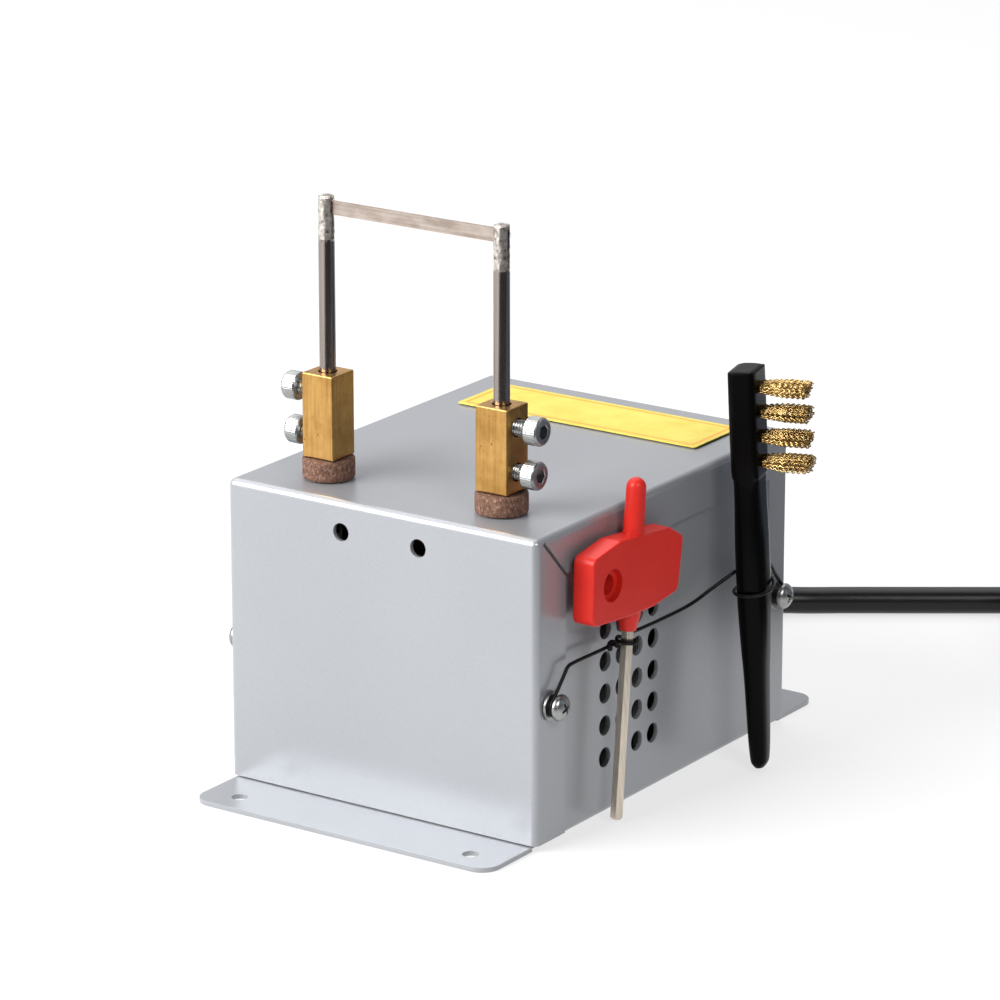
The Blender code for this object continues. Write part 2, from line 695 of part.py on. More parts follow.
def secondary_strap(side, side_name):
    """A copper strap from the secondary winding up to the stud."""
    level = strap_top() - STRAP_THICK / 2
    down_y = CORE_Y - bobbin_half_y() - GAP - STRAP_THICK / 2
    corners = [(POST_Y - STRAP_OVERHANG, level), (down_y, level), (down_y, STRAP_END_Z)]
    path = fillet(corners, STRAP_BEND, 4, closed=False)
    bm = bmesh.new()
    left = [bm.verts.new((-STRAP_WIDTH / 2, y, z)) for y, z in path]
    right = [bm.verts.new((STRAP_WIDTH / 2, y, z)) for y, z in path]
    for k in range(len(path) - 1):
        bm.faces.new((left[k], right[k], right[k + 1], left[k + 1]))
    obj = mesh_object(f"secondary_strap_{side_name}", bm)
    thick = obj.modifiers.new("strap", "SOLIDIFY")
    thick.thickness = STRAP_THICK
    thick.offset = 0.0
    thick.use_even_offset = True
    spot = (side * POST_X, 0, 0)
    x, reach = side * POST_X, 5 * STRAP_THICK
    hole = (STUD_HOLE_RADIUS, (x, POST_Y, level - reach), (x, POST_Y, level + reach))
    boolean(obj, as_cutter(cylinders(f"strap_hole_{side_name}", [hole])))
    place(obj, COPPER, spot, parent=MACHINE)


# --- Transformer -----------------------------------------------------------------------------------


def window_width():
    return (CORE_WIDTH - CORE_LEG) / 2 - CORE_YOKE


def coil_half_y():
    """Half the finished coil's size from front to rear."""
    return CORE_STACK / 2 + 3 * GAP + BOBBIN_WALL + PRIMARY_BUILD + SECONDARY_BUILD


def bobbin_half_y():
    return coil_half_y() + BOBBIN_RIM


def foot_screw_places():
    reach = CORE_STACK / 2 + GAP + FOOT_REACH - 4.5 * MM
    return [(x, CORE_Y + end * reach) for end in (-1, 1) for x in (-FOOT_SCREW_X, FOOT_SCREW_X)]


def transformer_core():
    half_x, half_y = CORE_WIDTH / 2, CORE_STACK / 2
    obj = box(
        "transformer_core",
        (-half_x, CORE_Y - half_y, CORE_BOTTOM_Z),
        (half_x, CORE_Y + half_y, CORE_BOTTOM_Z + CORE_HEIGHT),
    )
    bm = bmesh.new()
    for side in (-1, 1):
        near, far = sorted((side * CORE_LEG / 2, side * (CORE_LEG / 2 + window_width())))
        add_box(
            bm,
            (near, CORE_Y - CORE_STACK, CORE_BOTTOM_Z + CORE_YOKE),
            (far, CORE_Y + CORE_STACK, CORE_BOTTOM_Z + CORE_HEIGHT - CORE_YOKE),
        )
    boolean(obj, as_cutter(mesh_object("core_window_cutter", bm)))
    front, rear = CORE_Y - CORE_STACK, CORE_Y + CORE_STACK
    radius = CORE_BOLT_RADIUS + GAP
    holes = [(radius, (x, front, z), (x, rear, z)) for x, z in core_bolt_places()]
    boolean(obj, as_cutter(cylinders("core_bolt_hole_cutter", holes, 12)))
    place(obj, LAMINATION, parent=MACHINE)


def core_bolt_places():
    heights = (CORE_BOTTOM_Z + CORE_BOLT_INSET, CORE_BOTTOM_Z + CORE_HEIGHT - CORE_BOLT_INSET)
    return [(x, z) for z in heights for x in (-CORE_BOLT_X, CORE_BOLT_X)]


def rectangular_ring(name, inner, outer, low, high, corner):
    """An upright rectangular ring round the centre leg, with rounded outer corners."""

    def outline(half, radius):
        (x, y) = half
        return fillet([(x, y), (-x, y), (-x, -y), (x, -y)], radius, 3)

    bm = bmesh.new()
    loops = []
    for half, radius in ((inner, 0.5 * MM), (outer, corner)):
        for z in (low, high):
            loops.append([bm.verts.new((x, y + CORE_Y, z)) for x, y in outline(half, radius)])
    inner_low, inner_high, outer_low, outer_high = loops
    for first, second in (
        (inner_low, inner_high),
        (inner_high, outer_high),
        (outer_high, outer_low),
        (outer_low, inner_low),
    ):
        for k in range(len(first)):
            j = (k + 1) % len(first)
            bm.faces.new((first[k], second[k], second[j], first[j]))
    return mesh_object(name, bm)


def windings():
    """Bobbin on the centre leg, primary wound on it and the heavy secondary wound over the primary."""
    low = CORE_BOTTOM_Z + CORE_YOKE + GAP
    high = CORE_BOTTOM_Z + CORE_HEIGHT - CORE_YOKE - GAP
    inside = Vector((CORE_LEG / 2 + GAP, CORE_STACK / 2 + GAP))
    wall = Vector((BOBBIN_WALL, BOBBIN_WALL))
    rim = Vector((CORE_LEG / 2 + window_width() - GAP, bobbin_half_y()))
    obj = rectangular_ring("winding_bobbin", inside, rim, low, high, 2.0 * MM)
    pocket = rectangular_ring(
        "bobbin_pocket_cutter", inside + wall, rim * 1.2, low + BOBBIN_WALL, high - BOBBIN_WALL, 2.0 * MM
    )
    place(boolean(obj, as_cutter(pocket)), NYLON, parent=MACHINE)
    low += BOBBIN_WALL + GAP
    high -= BOBBIN_WALL + GAP
    gap = Vector((GAP, GAP))
    first = inside + wall + gap
    second = first + Vector((PRIMARY_BUILD, PRIMARY_BUILD))
    third = second + gap
    fourth = third + Vector((SECONDARY_BUILD - BOBBIN_RIM, SECONDARY_BUILD))
    primary = rectangular_ring("primary_winding", first, second, low, high, 3.0 * MM)
    place(primary, VARNISH, parent=MACHINE)
    secondary = rectangular_ring("secondary_winding", third, fourth, low, high, 4.0 * MM)
    place(secondary, COPPER, parent=MACHINE)


def core_feet():
    """Angle feet bolted to the lower yoke, the through bolts and the feet's screws."""
    half = CORE_WIDTH / 2 - 1.0 * MM
    for end, end_name in ((-1, "front"), (1, "rear")):
        face = CORE_STACK / 2 + GAP
        outline = [
            (face, CORE_BOTTOM_Z),
            (face + FOOT_REACH, CORE_BOTTOM_Z),
            (face + FOOT_REACH, CORE_BOTTOM_Z + FOOT_THICK),
            (face + FOOT_THICK, CORE_BOTTOM_Z + FOOT_THICK),
            (face + FOOT_THICK, CORE_BOTTOM_Z + FOOT_HEIGHT),
            (face, CORE_BOTTOM_Z + FOOT_HEIGHT),
        ]
        obj = prism(f"core_foot_{end_name}", [(CORE_Y + end * y, z) for y, z in outline], -half, half)
        holes = []
        for x in (-CORE_BOLT_X, CORE_BOLT_X):
            z = CORE_BOTTOM_Z + CORE_BOLT_INSET
            holes.append((CORE_BOLT_RADIUS + GAP, (x, CORE_Y, z), (x, CORE_Y + end * CORE_STACK, z)))
        for x, y in foot_screw_places():
            if (y - CORE_Y) * end > 0:
                holes.append((COVER_SCREW_HOLE, (x, y, 0.0), (x, y, 5 * SHEET)))
        boolean(obj, as_cutter(cylinders(f"foot_hole_cutter_{end_name}", holes, 12)))
        place(obj, ZINC, parent=MACHINE)

    lower = CORE_BOTTOM_Z + CORE_HEIGHT / 2
    names = iter(("lower_left", "lower_right", "upper_left", "upper_right"))
    for x, z in core_bolt_places():
        grip = CORE_STACK / 2 + 2 * GAP + (FOOT_THICK if z < lower else 0.0)
        end = grip + CORE_BOLT_HEAD_HEIGHT
        head, shank = CORE_BOLT_HEAD_RADIUS, CORE_BOLT_RADIUS
        profile = [(0.0, end), (head, end), (head, grip), (shank, grip)]
        profile += [(shank, -grip), (head, -grip), (head, -end), (0.0, -end)]
        bolt = turned(f"core_bolt_{next(names)}", profile, 6)
        place(bolt, ZINC, (x, CORE_Y, z), (math.pi / 2, 0, 0), MACHINE)

    names = iter(("front_left", "front_right", "rear_left", "rear_right"))
    for x, y in foot_screw_places():
        seat = CORE_BOTTOM_Z + FOOT_THICK + GAP
        shank = COVER_SCREW_SHANK
        profile = [(0.0, seat + 1.8 * MM), (2.2 * MM, seat + 1.5 * MM), (COVER_SCREW_HEAD, seat)]
        profile += [(shank, seat), (shank, 0.4 * MM), (0.0, 0.4 * MM)]
        screw = turned(f"foot_screw_{next(names)}", profile, 12)
        place(screw, ZINC, (x, y, 0), parent=MACHINE, smooth=40)


# --- Mains side ------------------------------------------------------------------------------------


def cord_gland():
    """The strain relief in the rear wall, with a boot that tapers along the cord."""
    wall_out = GAP
    wall_in = -SHEET - GAP
    profile = [
        (0.0, GLAND_LENGTH),
        (4.7 * MM, GLAND_LENGTH),
        (6.0 * MM, 4.0 * MM),
        (7.5 * MM, 3.4 * MM),
        (7.5 * MM, wall_out),
        (GLAND_HOLE_RADIUS - GAP, wall_out),
        (GLAND_HOLE_RADIUS - GAP, wall_in),
        (7.0 * MM, wall_in),
        (6.4 * MM, wall_in - 2.2 * MM),
        (0.0, wall_in - 2.2 * MM),
    ]
    obj = turned("cord_gland", profile, 20)
    place(obj, BLACK_RUBBER, (GLAND_X, BOX_DEPTH / 2, GLAND_Z), (-math.pi / 2, 0, 0), MACHINE, smooth=40)


def mains_terminal_strip():
    """A two-way screw terminal block, with an entry at each end of each way."""
    width, depth, height = TERMINAL_SIZE
    x, y = TERMINAL_PLACE
    bottom = SHEET + GAP
    low = (x - width / 2, y - depth / 2, bottom)
    high = (x + width / 2, y + depth / 2, bottom + height)
    obj = box("mains_terminal_strip", low, high, bevel=0.6 * MM)
    rows = []
    for way in terminal_ways():
        middle = TERMINAL_ENTRY_Z
        rows.append((1.5 * MM, (way, y - depth, middle), (way, y - depth / 2 + 2.5 * MM, middle)))
        rows.append((1.5 * MM, (way, y + depth / 2 - 2.5 * MM, middle), (way, y + depth, middle)))
        rows.append((2.0 * MM, (way, y, bottom + height - 3.0 * MM), (way, y, bottom + 2 * height)))
    place(boolean(obj, as_cutter(cylinders("terminal_cutter", rows, 12))), NYLON, parent=MACHINE)


def terminal_ways():
    x = TERMINAL_PLACE[0]
    return (x - 5.5 * MM, x + 5.5 * MM)


def internal_wiring():
    """The lead's three cores to the terminal strip and the earth point, and the primary's two leads."""
    gland_end = BOX_DEPTH / 2 - SHEET - 3 * GAP - 2.2 * MM
    live_x, neutral_x = terminal_ways()
    entry_y = TERMINAL_PLACE[1] + TERMINAL_SIZE[1] / 2 + GAP
    straight = 1.3 * MM
    aisle = (gland_end + entry_y) / 2

    def core(name, start, end_x, mat):
        points = [
            (start[0], gland_end, start[1]),
            (start[0], gland_end - straight, start[1]),
            ((start[0] + end_x) / 2, aisle, (start[1] + TERMINAL_ENTRY_Z) / 2),
            (end_x, entry_y + straight, TERMINAL_ENTRY_Z),
            (end_x, entry_y, TERMINAL_ENTRY_Z),
        ]
        place(tube(name, smooth_route(points, 3 * MM), CORE_WIRE_RADIUS), mat, parent=MACHINE)

    core("live_core", (GLAND_X + 3.0 * MM, GLAND_Z - 2.0 * MM), live_x, BROWN_PVC)
    core("neutral_core", (GLAND_X + 2.0 * MM, GLAND_Z + 2.5 * MM), neutral_x, BLUE_PVC)
    earth_x, earth_y = foot_screw_places()[2]
    lug_z = CORE_BOTTOM_Z + FOOT_THICK + GAP + CORE_WIRE_RADIUS
    earth = [
        (GLAND_X - 3.0 * MM, gland_end, GLAND_Z - 1.0 * MM),
        (GLAND_X - 3.0 * MM, gland_end - straight, GLAND_Z - 1.0 * MM),
        (GLAND_X - 7.0 * MM, aisle, GLAND_Z - 6.0 * MM),
        (earth_x + 1.5 * MM, earth_y + 14.0 * MM, 8.0 * MM),
        (earth_x, earth_y + 8.0 * MM, lug_z + 1.0 * MM),
        (earth_x, earth_y + COVER_SCREW_HEAD + 1.0 * MM, lug_z),
    ]
    place(tube("earth_core", smooth_route(earth, 3 * MM), CORE_WIRE_RADIUS), GREEN_PVC, parent=MACHINE)

    exit_y = TERMINAL_PLACE[1] - TERMINAL_SIZE[1] / 2 - GAP
    coil_y = CORE_Y + bobbin_half_y() + GAP
    middle = (exit_y + coil_y) / 2
    for name, x in (("primary_lead_live", live_x), ("primary_lead_neutral", neutral_x)):
        points = [
            (x, exit_y, TERMINAL_ENTRY_Z),
            (x, exit_y - LEAD_RADIUS, TERMINAL_ENTRY_Z),
            (x, middle, TERMINAL_ENTRY_Z + 5.0 * MM),
            (x, middle, 44.0 * MM),
            (x, coil_y + LEAD_RADIUS, 51.4 * MM),
            (x, coil_y, 51.4 * MM),
        ]
        place(tube(name, smooth_route(points, 4 * MM), LEAD_RADIUS), VARNISH, parent=MACHINE)


def mains_cord():
    """The lead from the gland to the floor and along it, the put-away coil and its free end."""
    start_y = BOX_DEPTH / 2 + GLAND_LENGTH + GAP
    lie = CORD_RADIUS
    route = [
        (GLAND_X, start_y, GLAND_Z),
        (GLAND_X, 91.0 * MM, GLAND_Z),
        (-13.8 * MM, 100.5 * MM, 17.6 * MM),
        (-12.5 * MM, 110.0 * MM, 12.6 * MM),
        (-9.6 * MM, 118.4 * MM, 7.5 * MM),
        (-4.9 * MM, 125.6 * MM, 4.5 * MM),
        (1.3 * MM, 131.1 * MM, lie),
        (14.9 * MM, 140.3 * MM, lie),
        (28.5 * MM, 149.5 * MM, lie),
        (48.1 * MM, 162.8 * MM, lie),
        (67.3 * MM, 175.8 * MM, lie),
    ]
    lead = tube("mains_cord", smooth_route(route, CORD_SPACING), CORD_RADIUS)
    place(lead, BLACK_PVC, parent=MACHINE)

    inner = COIL_INNER_TURN - CORD_RADIUS
    outer = COIL_OUTER_TURN + CORD_RADIUS
    top = 2 * CORD_RADIUS + (COIL_LAYERS - 1) * TURN_PITCH
    ease = 2.5 * MM
    profile = fillet([(inner, top), (outer, top), (outer, 0.0), (inner, 0.0)], ease, 2)
    coil = turned_ring("cord_coil", profile, 40)
    place(coil, BLACK_PVC, COIL_CENTRE, parent=MACHINE, smooth=40)

    tail_end = PLUG_FACE_Y + PLUG_LENGTH + PLUG_TAIL + GAP
    tail = [
        (158.7 * MM, 128.5 * MM, 17.0 * MM),
        (158.4 * MM, 121.0 * MM, 14.6 * MM),
        (PLUG_AXIS_X, tail_end + 5.0 * MM, PLUG_AXIS_Z),
        (PLUG_AXIS_X, tail_end, PLUG_AXIS_Z),
    ]
    free_end = tube("cord_tail", smooth_route(tail, CORD_SPACING), CORD_RADIUS)
    place(free_end, BLACK_PVC, parent=MACHINE)


def plug():
    """A moulded three-pin plug lying on its flat side, pins to the front."""
    rows = [
        (0.0, PLUG_WIDTH / 2, PLUG_THICK / 2, 4.0),
        (4.0 * MM, PLUG_WIDTH / 2, PLUG_THICK / 2, 4.0),
        (22.0 * MM, 12.0 * MM, 10.5 * MM, 3.5),
        (PLUG_LENGTH - 3.0 * MM, 10.5 * MM, 9.0 * MM, 3.0),
        (PLUG_LENGTH, 5.5 * MM, 5.5 * MM, 2.0),
        (PLUG_LENGTH + PLUG_TAIL, 4.8 * MM, 4.8 * MM, 2.0),
    ]
    sections = [
        superellipse(a, b, power, 20, lambda x, z, y=along: (x, y, z)) for along, a, b, power in rows
    ]
    spot = (PLUG_AXIS_X, PLUG_FACE_Y, PLUG_AXIS_Z)
    place(loft("plug_body", sections), BLACK_PVC, spot, parent=MACHINE, smooth=50)
    width, thick, length = PIN_SIZE
    for name, x, z, turn, extra in (
        ("plug_pin_live", 6.9 * MM, 3.4 * MM, 60, 0.0),
        ("plug_pin_neutral", -6.9 * MM, 3.4 * MM, -60, 0.0),
        ("plug_pin_earth", 0.0, -6.4 * MM, 90, 3.0 * MM),
    ):
        low, high = (-width / 2, -length - extra, -thick / 2), (width / 2, 0.0, thick / 2)
        obj = box(name, low, high, bevel=PIN_BEVEL)
        spot = (PLUG_AXIS_X + x, PLUG_FACE_Y - GAP, PLUG_AXIS_Z + z)
        place(obj, BRASS, spot, (0, math.radians(turn), 0), MACHINE)


# --- Tools on the side -------------------------------------------------------------------------


def hex_key():
    """The clamp screws' key: a hexagonal shank moulded into a flag handle with a peg on top."""
    key = new_empty("hex_key", KEY_TIP, (-KEY_LEAN, 0, 0), MACHINE)
    corner = KEY_FLATS / 2 / math.cos(math.pi / 6)
    shank = cylinders("hex_key_shank", [(corner, (0, 0, 0), (0, 0, KEY_SHANK_LENGTH))], 6)
    place(shank, STEEL, parent=key)

    outline = fillet([(y * MM, z * MM) for y, z in KEY_FLAG_CORNERS], 2.0 * MM, 3)
    half = KEY_THICK / 2
    handle = prism("hex_key_handle", outline, -half, half, bevel=0.9 * MM)
    peg = KEY_PEG_RADIUS
    neck = [
        (0.0, KEY_PEG_TOP),
        (0.7 * peg, KEY_PEG_TOP - 0.3 * peg),
        (peg, KEY_PEG_TOP - peg),
        (peg + 0.3 * MM, 55.0 * MM),
        (peg + 0.5 * MM, 50.0 * MM),
        (peg, KEY_NECK_Z),
        (0.0, KEY_NECK_Z),
    ]
    spine = as_cutter(turned("key_spine", neck, 16))
    bores = [
        [(corner + GAP, (0, 0, 0), (0, 0, KEY_SHANK_LENGTH + GAP))],
        [(KEY_HOLE_RADIUS, (-KEY_THICK, *KEY_HOLE), (KEY_THICK, *KEY_HOLE))],
        [(KEY_COUNTERBORE_RADIUS, (half - 1.5 * MM, *KEY_HOLE), (KEY_THICK, *KEY_HOLE))],
    ]
    spine.parent = key
    boolean(handle, spine, "UNION")
    for k, rows in enumerate(bores):
        cutter = as_cutter(cylinders(f"key_cutter_{k}", rows, 16))
        cutter.parent = key
        boolean(handle, cutter)
    place(handle, RED_PLASTIC, parent=key)


def brush():
    """A brass-wire brush: a tapering handle and four rows of bristles."""
    spin = new_empty("brush", BRUSH_TIP, (0, -BRUSH_LEAN, 0), MACHINE)
    axis = new_empty("brush_turn", rotation=(0, 0, BRUSH_TURN), parent=spin)
    sections = [
        superellipse(thick * MM / 2, width * MM / 2, 3.0, 16, lambda x, y, z=height: (x, y, z * MM))
        for height, thick, width in BRUSH_SECTIONS
    ]
    place(loft("brush_handle", sections), BLACK_PLASTIC, parent=axis, smooth=50)
    root_x = BRUSH_SECTIONS[-3][1] / 2 * MM + GAP
    for k, height in enumerate(TUFT_HEIGHTS):
        rows = [tuple(number * MM for number in row) for row in TUFT_SECTIONS]
        sections = [
            superellipse(
                tall, wide, 2.4, 12, lambda z, y, out=out: (root_x + out, y, height + z + TUFT_RISE * out)
            )
            for out, tall, wide in rows
        ]
        place(loft(f"brush_tuft_{k + 1}", sections), BRASS_WIRE, parent=axis, smooth=50)


def turns_about(centre, half_a, half_b, spin, start, sweep, first_z, last_z, steps, curve=1.0):
    """Points of a loop round an upright axis, from one height to another; angles in degrees."""
    points = []
    for k in range(steps + 1):
        t = k / steps
        angle = math.radians(start + sweep * t)
        a, b = half_a * math.cos(angle), half_b * math.sin(angle)
        x = centre[0] + a * math.cos(spin) - b * math.sin(spin)
        y = centre[1] + a * math.sin(spin) + b * math.cos(spin)
        points.append((x, y, last_z + (first_z - last_z) * (1 - t) ** curve))
    return points


def holder_wire():
    """One wire from screw to screw: an eye under each head, a turn round the key and the brush."""
    plane = BOX_WIDTH / 2 + GAP + COVER_WASHER_THICK + WIRE_SEAT / 2
    eye = COVER_SCREW_SHANK + WIRE_RADIUS + 0.45 * MM
    front = (-COVER_SCREW_Y, COVER_SCREW_Z)
    rear = (COVER_SCREW_Y, COVER_SCREW_Z)
    first = [(plane, y, z) for y, z in arc(front, eye, 426, 136, 12)]
    last = [(plane, y, z) for y, z in arc(rear, eye, 64, -226, 12)]

    key_z = 45.0 * MM
    lean = math.tan(KEY_LEAN)
    key_at = (KEY_TIP.x, KEY_TIP.y + lean * (key_z - KEY_TIP.z))
    round_key = KEY_FLATS / 2 / math.cos(math.pi / 6) + WIRE_RADIUS + 0.5 * MM
    key_low, key_high = key_z - 0.8 * MM, key_z + 0.7 * MM
    loop_key = turns_about(key_at, round_key, round_key, 0.0, 180, -360, key_low, key_high, 14)

    brush_z = 46.6 * MM
    brush_at = (BRUSH_TIP.x - math.tan(BRUSH_LEAN) * (brush_z - BRUSH_TIP.z), BRUSH_TIP.y)
    across, along = 4.9 * MM, 6.8 * MM
    upper, lower = brush_z + 4.5 * MM, brush_z - 1.5 * MM
    loop_brush = turns_about(brush_at, across, along, BRUSH_TURN, 205, -410, upper, lower, 22, curve=2.0)

    def free(rows):
        return [Vector(row) * MM for row in rows]

    bend = [(plane, -47.2 * MM, 42.5 * MM)]
    bend += free([(47.0, -45.2, 44.2), (47.0, -42.6, 44.6), (46.9, -34.0, 44.4)])
    between = free([(47.0, -22.0, 45.2), (47.3, -8.0, 44.9), (47.6, 6.0, 45.2), (49.4, 13.0, 47.6)])
    down = free([(49.9, 34.5, 45.6), (48.6, 42.0, 46.3), (46.9, 47.6, 42.0)])
    points = first + bend + loop_key + between + loop_brush + down + last
    place(tube("holder_wire", points, WIRE_RADIUS), BLACK_WIRE, parent=MACHINE)


clear_scene()
PARTS = new_collection("hot_blade_cutter")
CUTTERS = new_collection("cutters")
MACHINE = new_empty("machine")

PAINT = material("silver_paint", (0.46, 0.47, 0.49), 0.42, 0.25)
ZINC = material("zinc_plate", (0.72, 0.73, 0.74), 0.28, 1.0)
STEEL = material("nickel_steel", (0.48, 0.46, 0.44), 0.25, 1.0)
BRASS = material("brass", (0.78, 0.50, 0.20), 0.35, 1.0)
BRASS_WIRE = material("brass_wire", (0.62, 0.42, 0.14), 0.45, 1.0)
COPPER = material("copper", (0.72, 0.35, 0.20), 0.35, 1.0)
NICHROME = material("nichrome", (0.55, 0.52, 0.47), 0.4, 1.0)
FIBRE = material("insulating_fibre", (0.14, 0.07, 0.05), 0.8)
LAMINATION = material("laminated_steel", (0.20, 0.20, 0.21), 0.5, 0.8)
VARNISH = material("enamelled_wire", (0.45, 0.14, 0.05), 0.35)
NYLON = material("white_nylon", (0.80, 0.79, 0.75), 0.5)
BLACK_PVC = material("black_pvc", (0.02, 0.02, 0.02), 0.45)
BLACK_RUBBER = material("black_rubber", (0.03, 0.03, 0.03), 0.6)
BLACK_PLASTIC = material("black_plastic", (0.015, 0.015, 0.016), 0.3)
BLACK_WIRE = material("annealed_wire", (0.03, 0.03, 0.03), 0.45, 0.5)
RED_PLASTIC = material("red_plastic", (0.62, 0.03, 0.02), 0.35)
LABEL_YELLOW = material("label_yellow", (0.85, 0.70, 0.08), 0.5)
BROWN_PVC = material("brown_pvc", (0.20, 0.09, 0.04), 0.5)
BLUE_PVC = material("blue_pvc", (0.03, 0.12, 0.50), 0.5)
GREEN_PVC = material("green_yellow_pvc", (0.20, 0.45, 0.05), 0.5)

base_chassis()
cover()
cover_screws()
top_label()
for side, side_name in ((-1, "left"), (1, "right")):
    insulators(side, side_name)
    terminal_block(side, side_name)
    terminal_nut(side, side_name)
    clamp_screws(side, side_name)
    secondary_strap(side, side_name)
blade_head()
transformer_core()
windings()
core_feet()
cord_gland()
mains_terminal_strip()
internal_wiring()
mains_cord()
plug()
hex_key()
brush()
holder_wire()
bpy.context.view_layer.update()
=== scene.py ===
import random
from math import atan2, copysign, cos, pi, radians, sin, sqrt, tan

import bmesh
import bpy
from mathutils import Matrix, Vector, noise


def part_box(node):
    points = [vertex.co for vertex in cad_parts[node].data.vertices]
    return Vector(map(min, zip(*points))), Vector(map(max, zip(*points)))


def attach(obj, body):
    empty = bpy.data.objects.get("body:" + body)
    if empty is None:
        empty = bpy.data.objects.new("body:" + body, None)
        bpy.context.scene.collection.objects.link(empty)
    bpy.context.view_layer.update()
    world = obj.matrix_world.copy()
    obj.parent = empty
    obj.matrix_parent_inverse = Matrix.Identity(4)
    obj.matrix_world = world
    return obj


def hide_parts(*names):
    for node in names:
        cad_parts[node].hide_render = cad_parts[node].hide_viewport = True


# The looks of a benchtop hot-blade cutter: camera, floor and light, then each visible piece as a fine
# mesh in its CAD node's place, in the frame's own metres (+X right, +Y rear, +Z up).

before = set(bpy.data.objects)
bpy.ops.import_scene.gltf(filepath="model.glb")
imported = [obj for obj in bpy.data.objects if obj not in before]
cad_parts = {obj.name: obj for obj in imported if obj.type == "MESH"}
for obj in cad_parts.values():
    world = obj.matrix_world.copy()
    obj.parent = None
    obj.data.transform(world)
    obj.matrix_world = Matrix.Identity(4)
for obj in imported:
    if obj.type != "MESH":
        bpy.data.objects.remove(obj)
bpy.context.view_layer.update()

MM = 0.001
GAP = 0.3 * MM  # clearance that the frame keeps between touching pieces
SIDES = ((-1, "left"), (1, "right"))

# --- Camera and light ---
CAMERA_PLACE = Vector((677.3, -999.8, 438.8)) * MM
CAMERA_YAW = radians(34.26)
CAMERA_PITCH = radians(17.19)
CAMERA_LENS = 185.3  # millimetres, on a 36 mm sensor

# --- Case ---
SHEET = 1.2 * MM
BEND_RADIUS = 1.8 * MM
SKIRT_HEIGHT = 11.1 * MM
FRONT_RETURN = 12.2 * MM
REAR_RETURN = 9.0 * MM
MITRE_SLIT = 0.9 * MM
MITRE_START = (2.9 * MM, 1.4 * MM)  # from the front and from the top
FLANGE_CORNER = 5.0 * MM
FLANGE_HOLE = (34.0 * MM, 7.0 * MM)  # from the middle, and in from the flange's end
FLANGE_HOLE_RADIUS = 2.0 * MM
FRONT_HOLE = (11.2 * MM, 69.6 * MM)
FRONT_HOLE_RADIUS = 2.25 * MM
VENT_RADIUS = 2.45 * MM
VENT_FIRST = (-24.6 * MM, 14.4 * MM)
VENT_STEP = (7.07 * MM, 8.12 * MM)
VENT_COUNT = (4, 5)
SCREW_HOLE_RADIUS = 1.8 * MM
SPIGOT_HOLE_RADIUS = 4.0 * MM
GLAND_HOLE_RADIUS = 5.5 * MM
EDGE_ROUND = 0.12 * MM  # a painted sheet's edge

# --- Posts and blade ---
BLOCK_HEIGHT = 21.0 * MM
STUD_RADIUS = 2.5 * MM
ROD_RADIUS = 2.0 * MM
SLIT_DEPTH = 10.5 * MM
SLIT_WIDTH = 0.9 * MM
CLAMP_HEIGHTS = {"lower": 5.0 * MM, "upper": 15.9 * MM}
CLAMP_STANDOFF = {"lower": 2.6 * MM, "upper": 3.4 * MM}
CLAMP_HEAD_RADIUS = 3.5 * MM
CLAMP_HEAD_HEIGHT = 4.0 * MM
CLAMP_THREAD_RADIUS = 2.0 * MM
CLAMP_HEX_FLATS = 3.1 * MM
THREAD_PITCH = 0.7 * MM

# --- Hex key and brush, each in its own upright frame with its tip at the origin ---
KEY_TIP = Vector((49.5, -28.6, 1.2)) * MM
KEY_LEAN = radians(5.4)
KEY_FLATS = 2.9 * MM
KEY_THICK = 6.0 * MM
KEY_HOLE = (-12.4 * MM, 60.2 * MM)
BRUSH_TIP = Vector((58.5, 22.7, 1.0)) * MM
BRUSH_LEAN = radians(3.25)
BRUSH_TURN = radians(15.0)
BRISTLE_RISE = radians(-1.5)
BRISTLES_PER_TUFT = 48
BRISTLE_STEPS = 48
CRIMP_PITCH = 1.35 * MM

# --- Mains cord ---
CORD_RADIUS = 3.6 * MM
CORD_LIE = 3.75 * MM  # height of its centre where it lies on the bench
COIL_CENTRE = Vector((114.4, 154.3, 0.0)) * MM
COIL_OUTER = 44.4 * MM
COIL_INNER = 37.1 * MM
TURN_PITCH = 7.3 * MM
WIRE_RADIUS = 0.45 * MM


# --- Mesh helpers ---

def middle(node):
    low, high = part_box(node)
    return (low + high) / 2


def mm(rows):
    """Rows of numbers in millimetres as rows in metres."""
    return [tuple(number * MM for number in row) for row in rows]


def linked(name, data):
    obj = bpy.data.objects.new(name, data)
    bpy.context.scene.collection.objects.link(obj)
    return obj


def value(thing, angle):
    return thing(angle) if callable(thing) else thing


def skin(bm, rings, closed=False):
    """Quads between rings of the same count; a ring of one vertex is a tip."""
    pairs = list(zip(rings, rings[1:])) + ([(rings[-1], rings[0])] if closed else [])
    for low, high in pairs:
        count = max(len(low), len(high))
        for k in range(count):
            j = (k + 1) % count
            corners = [low[k % len(low)], low[j % len(low)], high[j % len(high)], high[k % len(high)]]
            unique = [v for i, v in enumerate(corners) if v not in corners[:i]]
            if len(unique) > 2:
                bm.faces.new(unique)


def lathe(rows, steps=64, closed=False):
    """A skin about Z from rows of (radius, height), each a number or a function of the angle."""
    bm = bmesh.new()
    rings = []
    for radius, height in rows:
        if radius == 0:
            rings.append([bm.verts.new((0.0, 0.0, height))])
            continue
        ring = []
        for k in range(steps):
            a = 2 * pi * k / steps
            r = value(radius, a)
            ring.append(bm.verts.new((r * cos(a), r * sin(a), value(height, a))))
        rings.append(ring)
    skin(bm, rings, closed)
    return bm


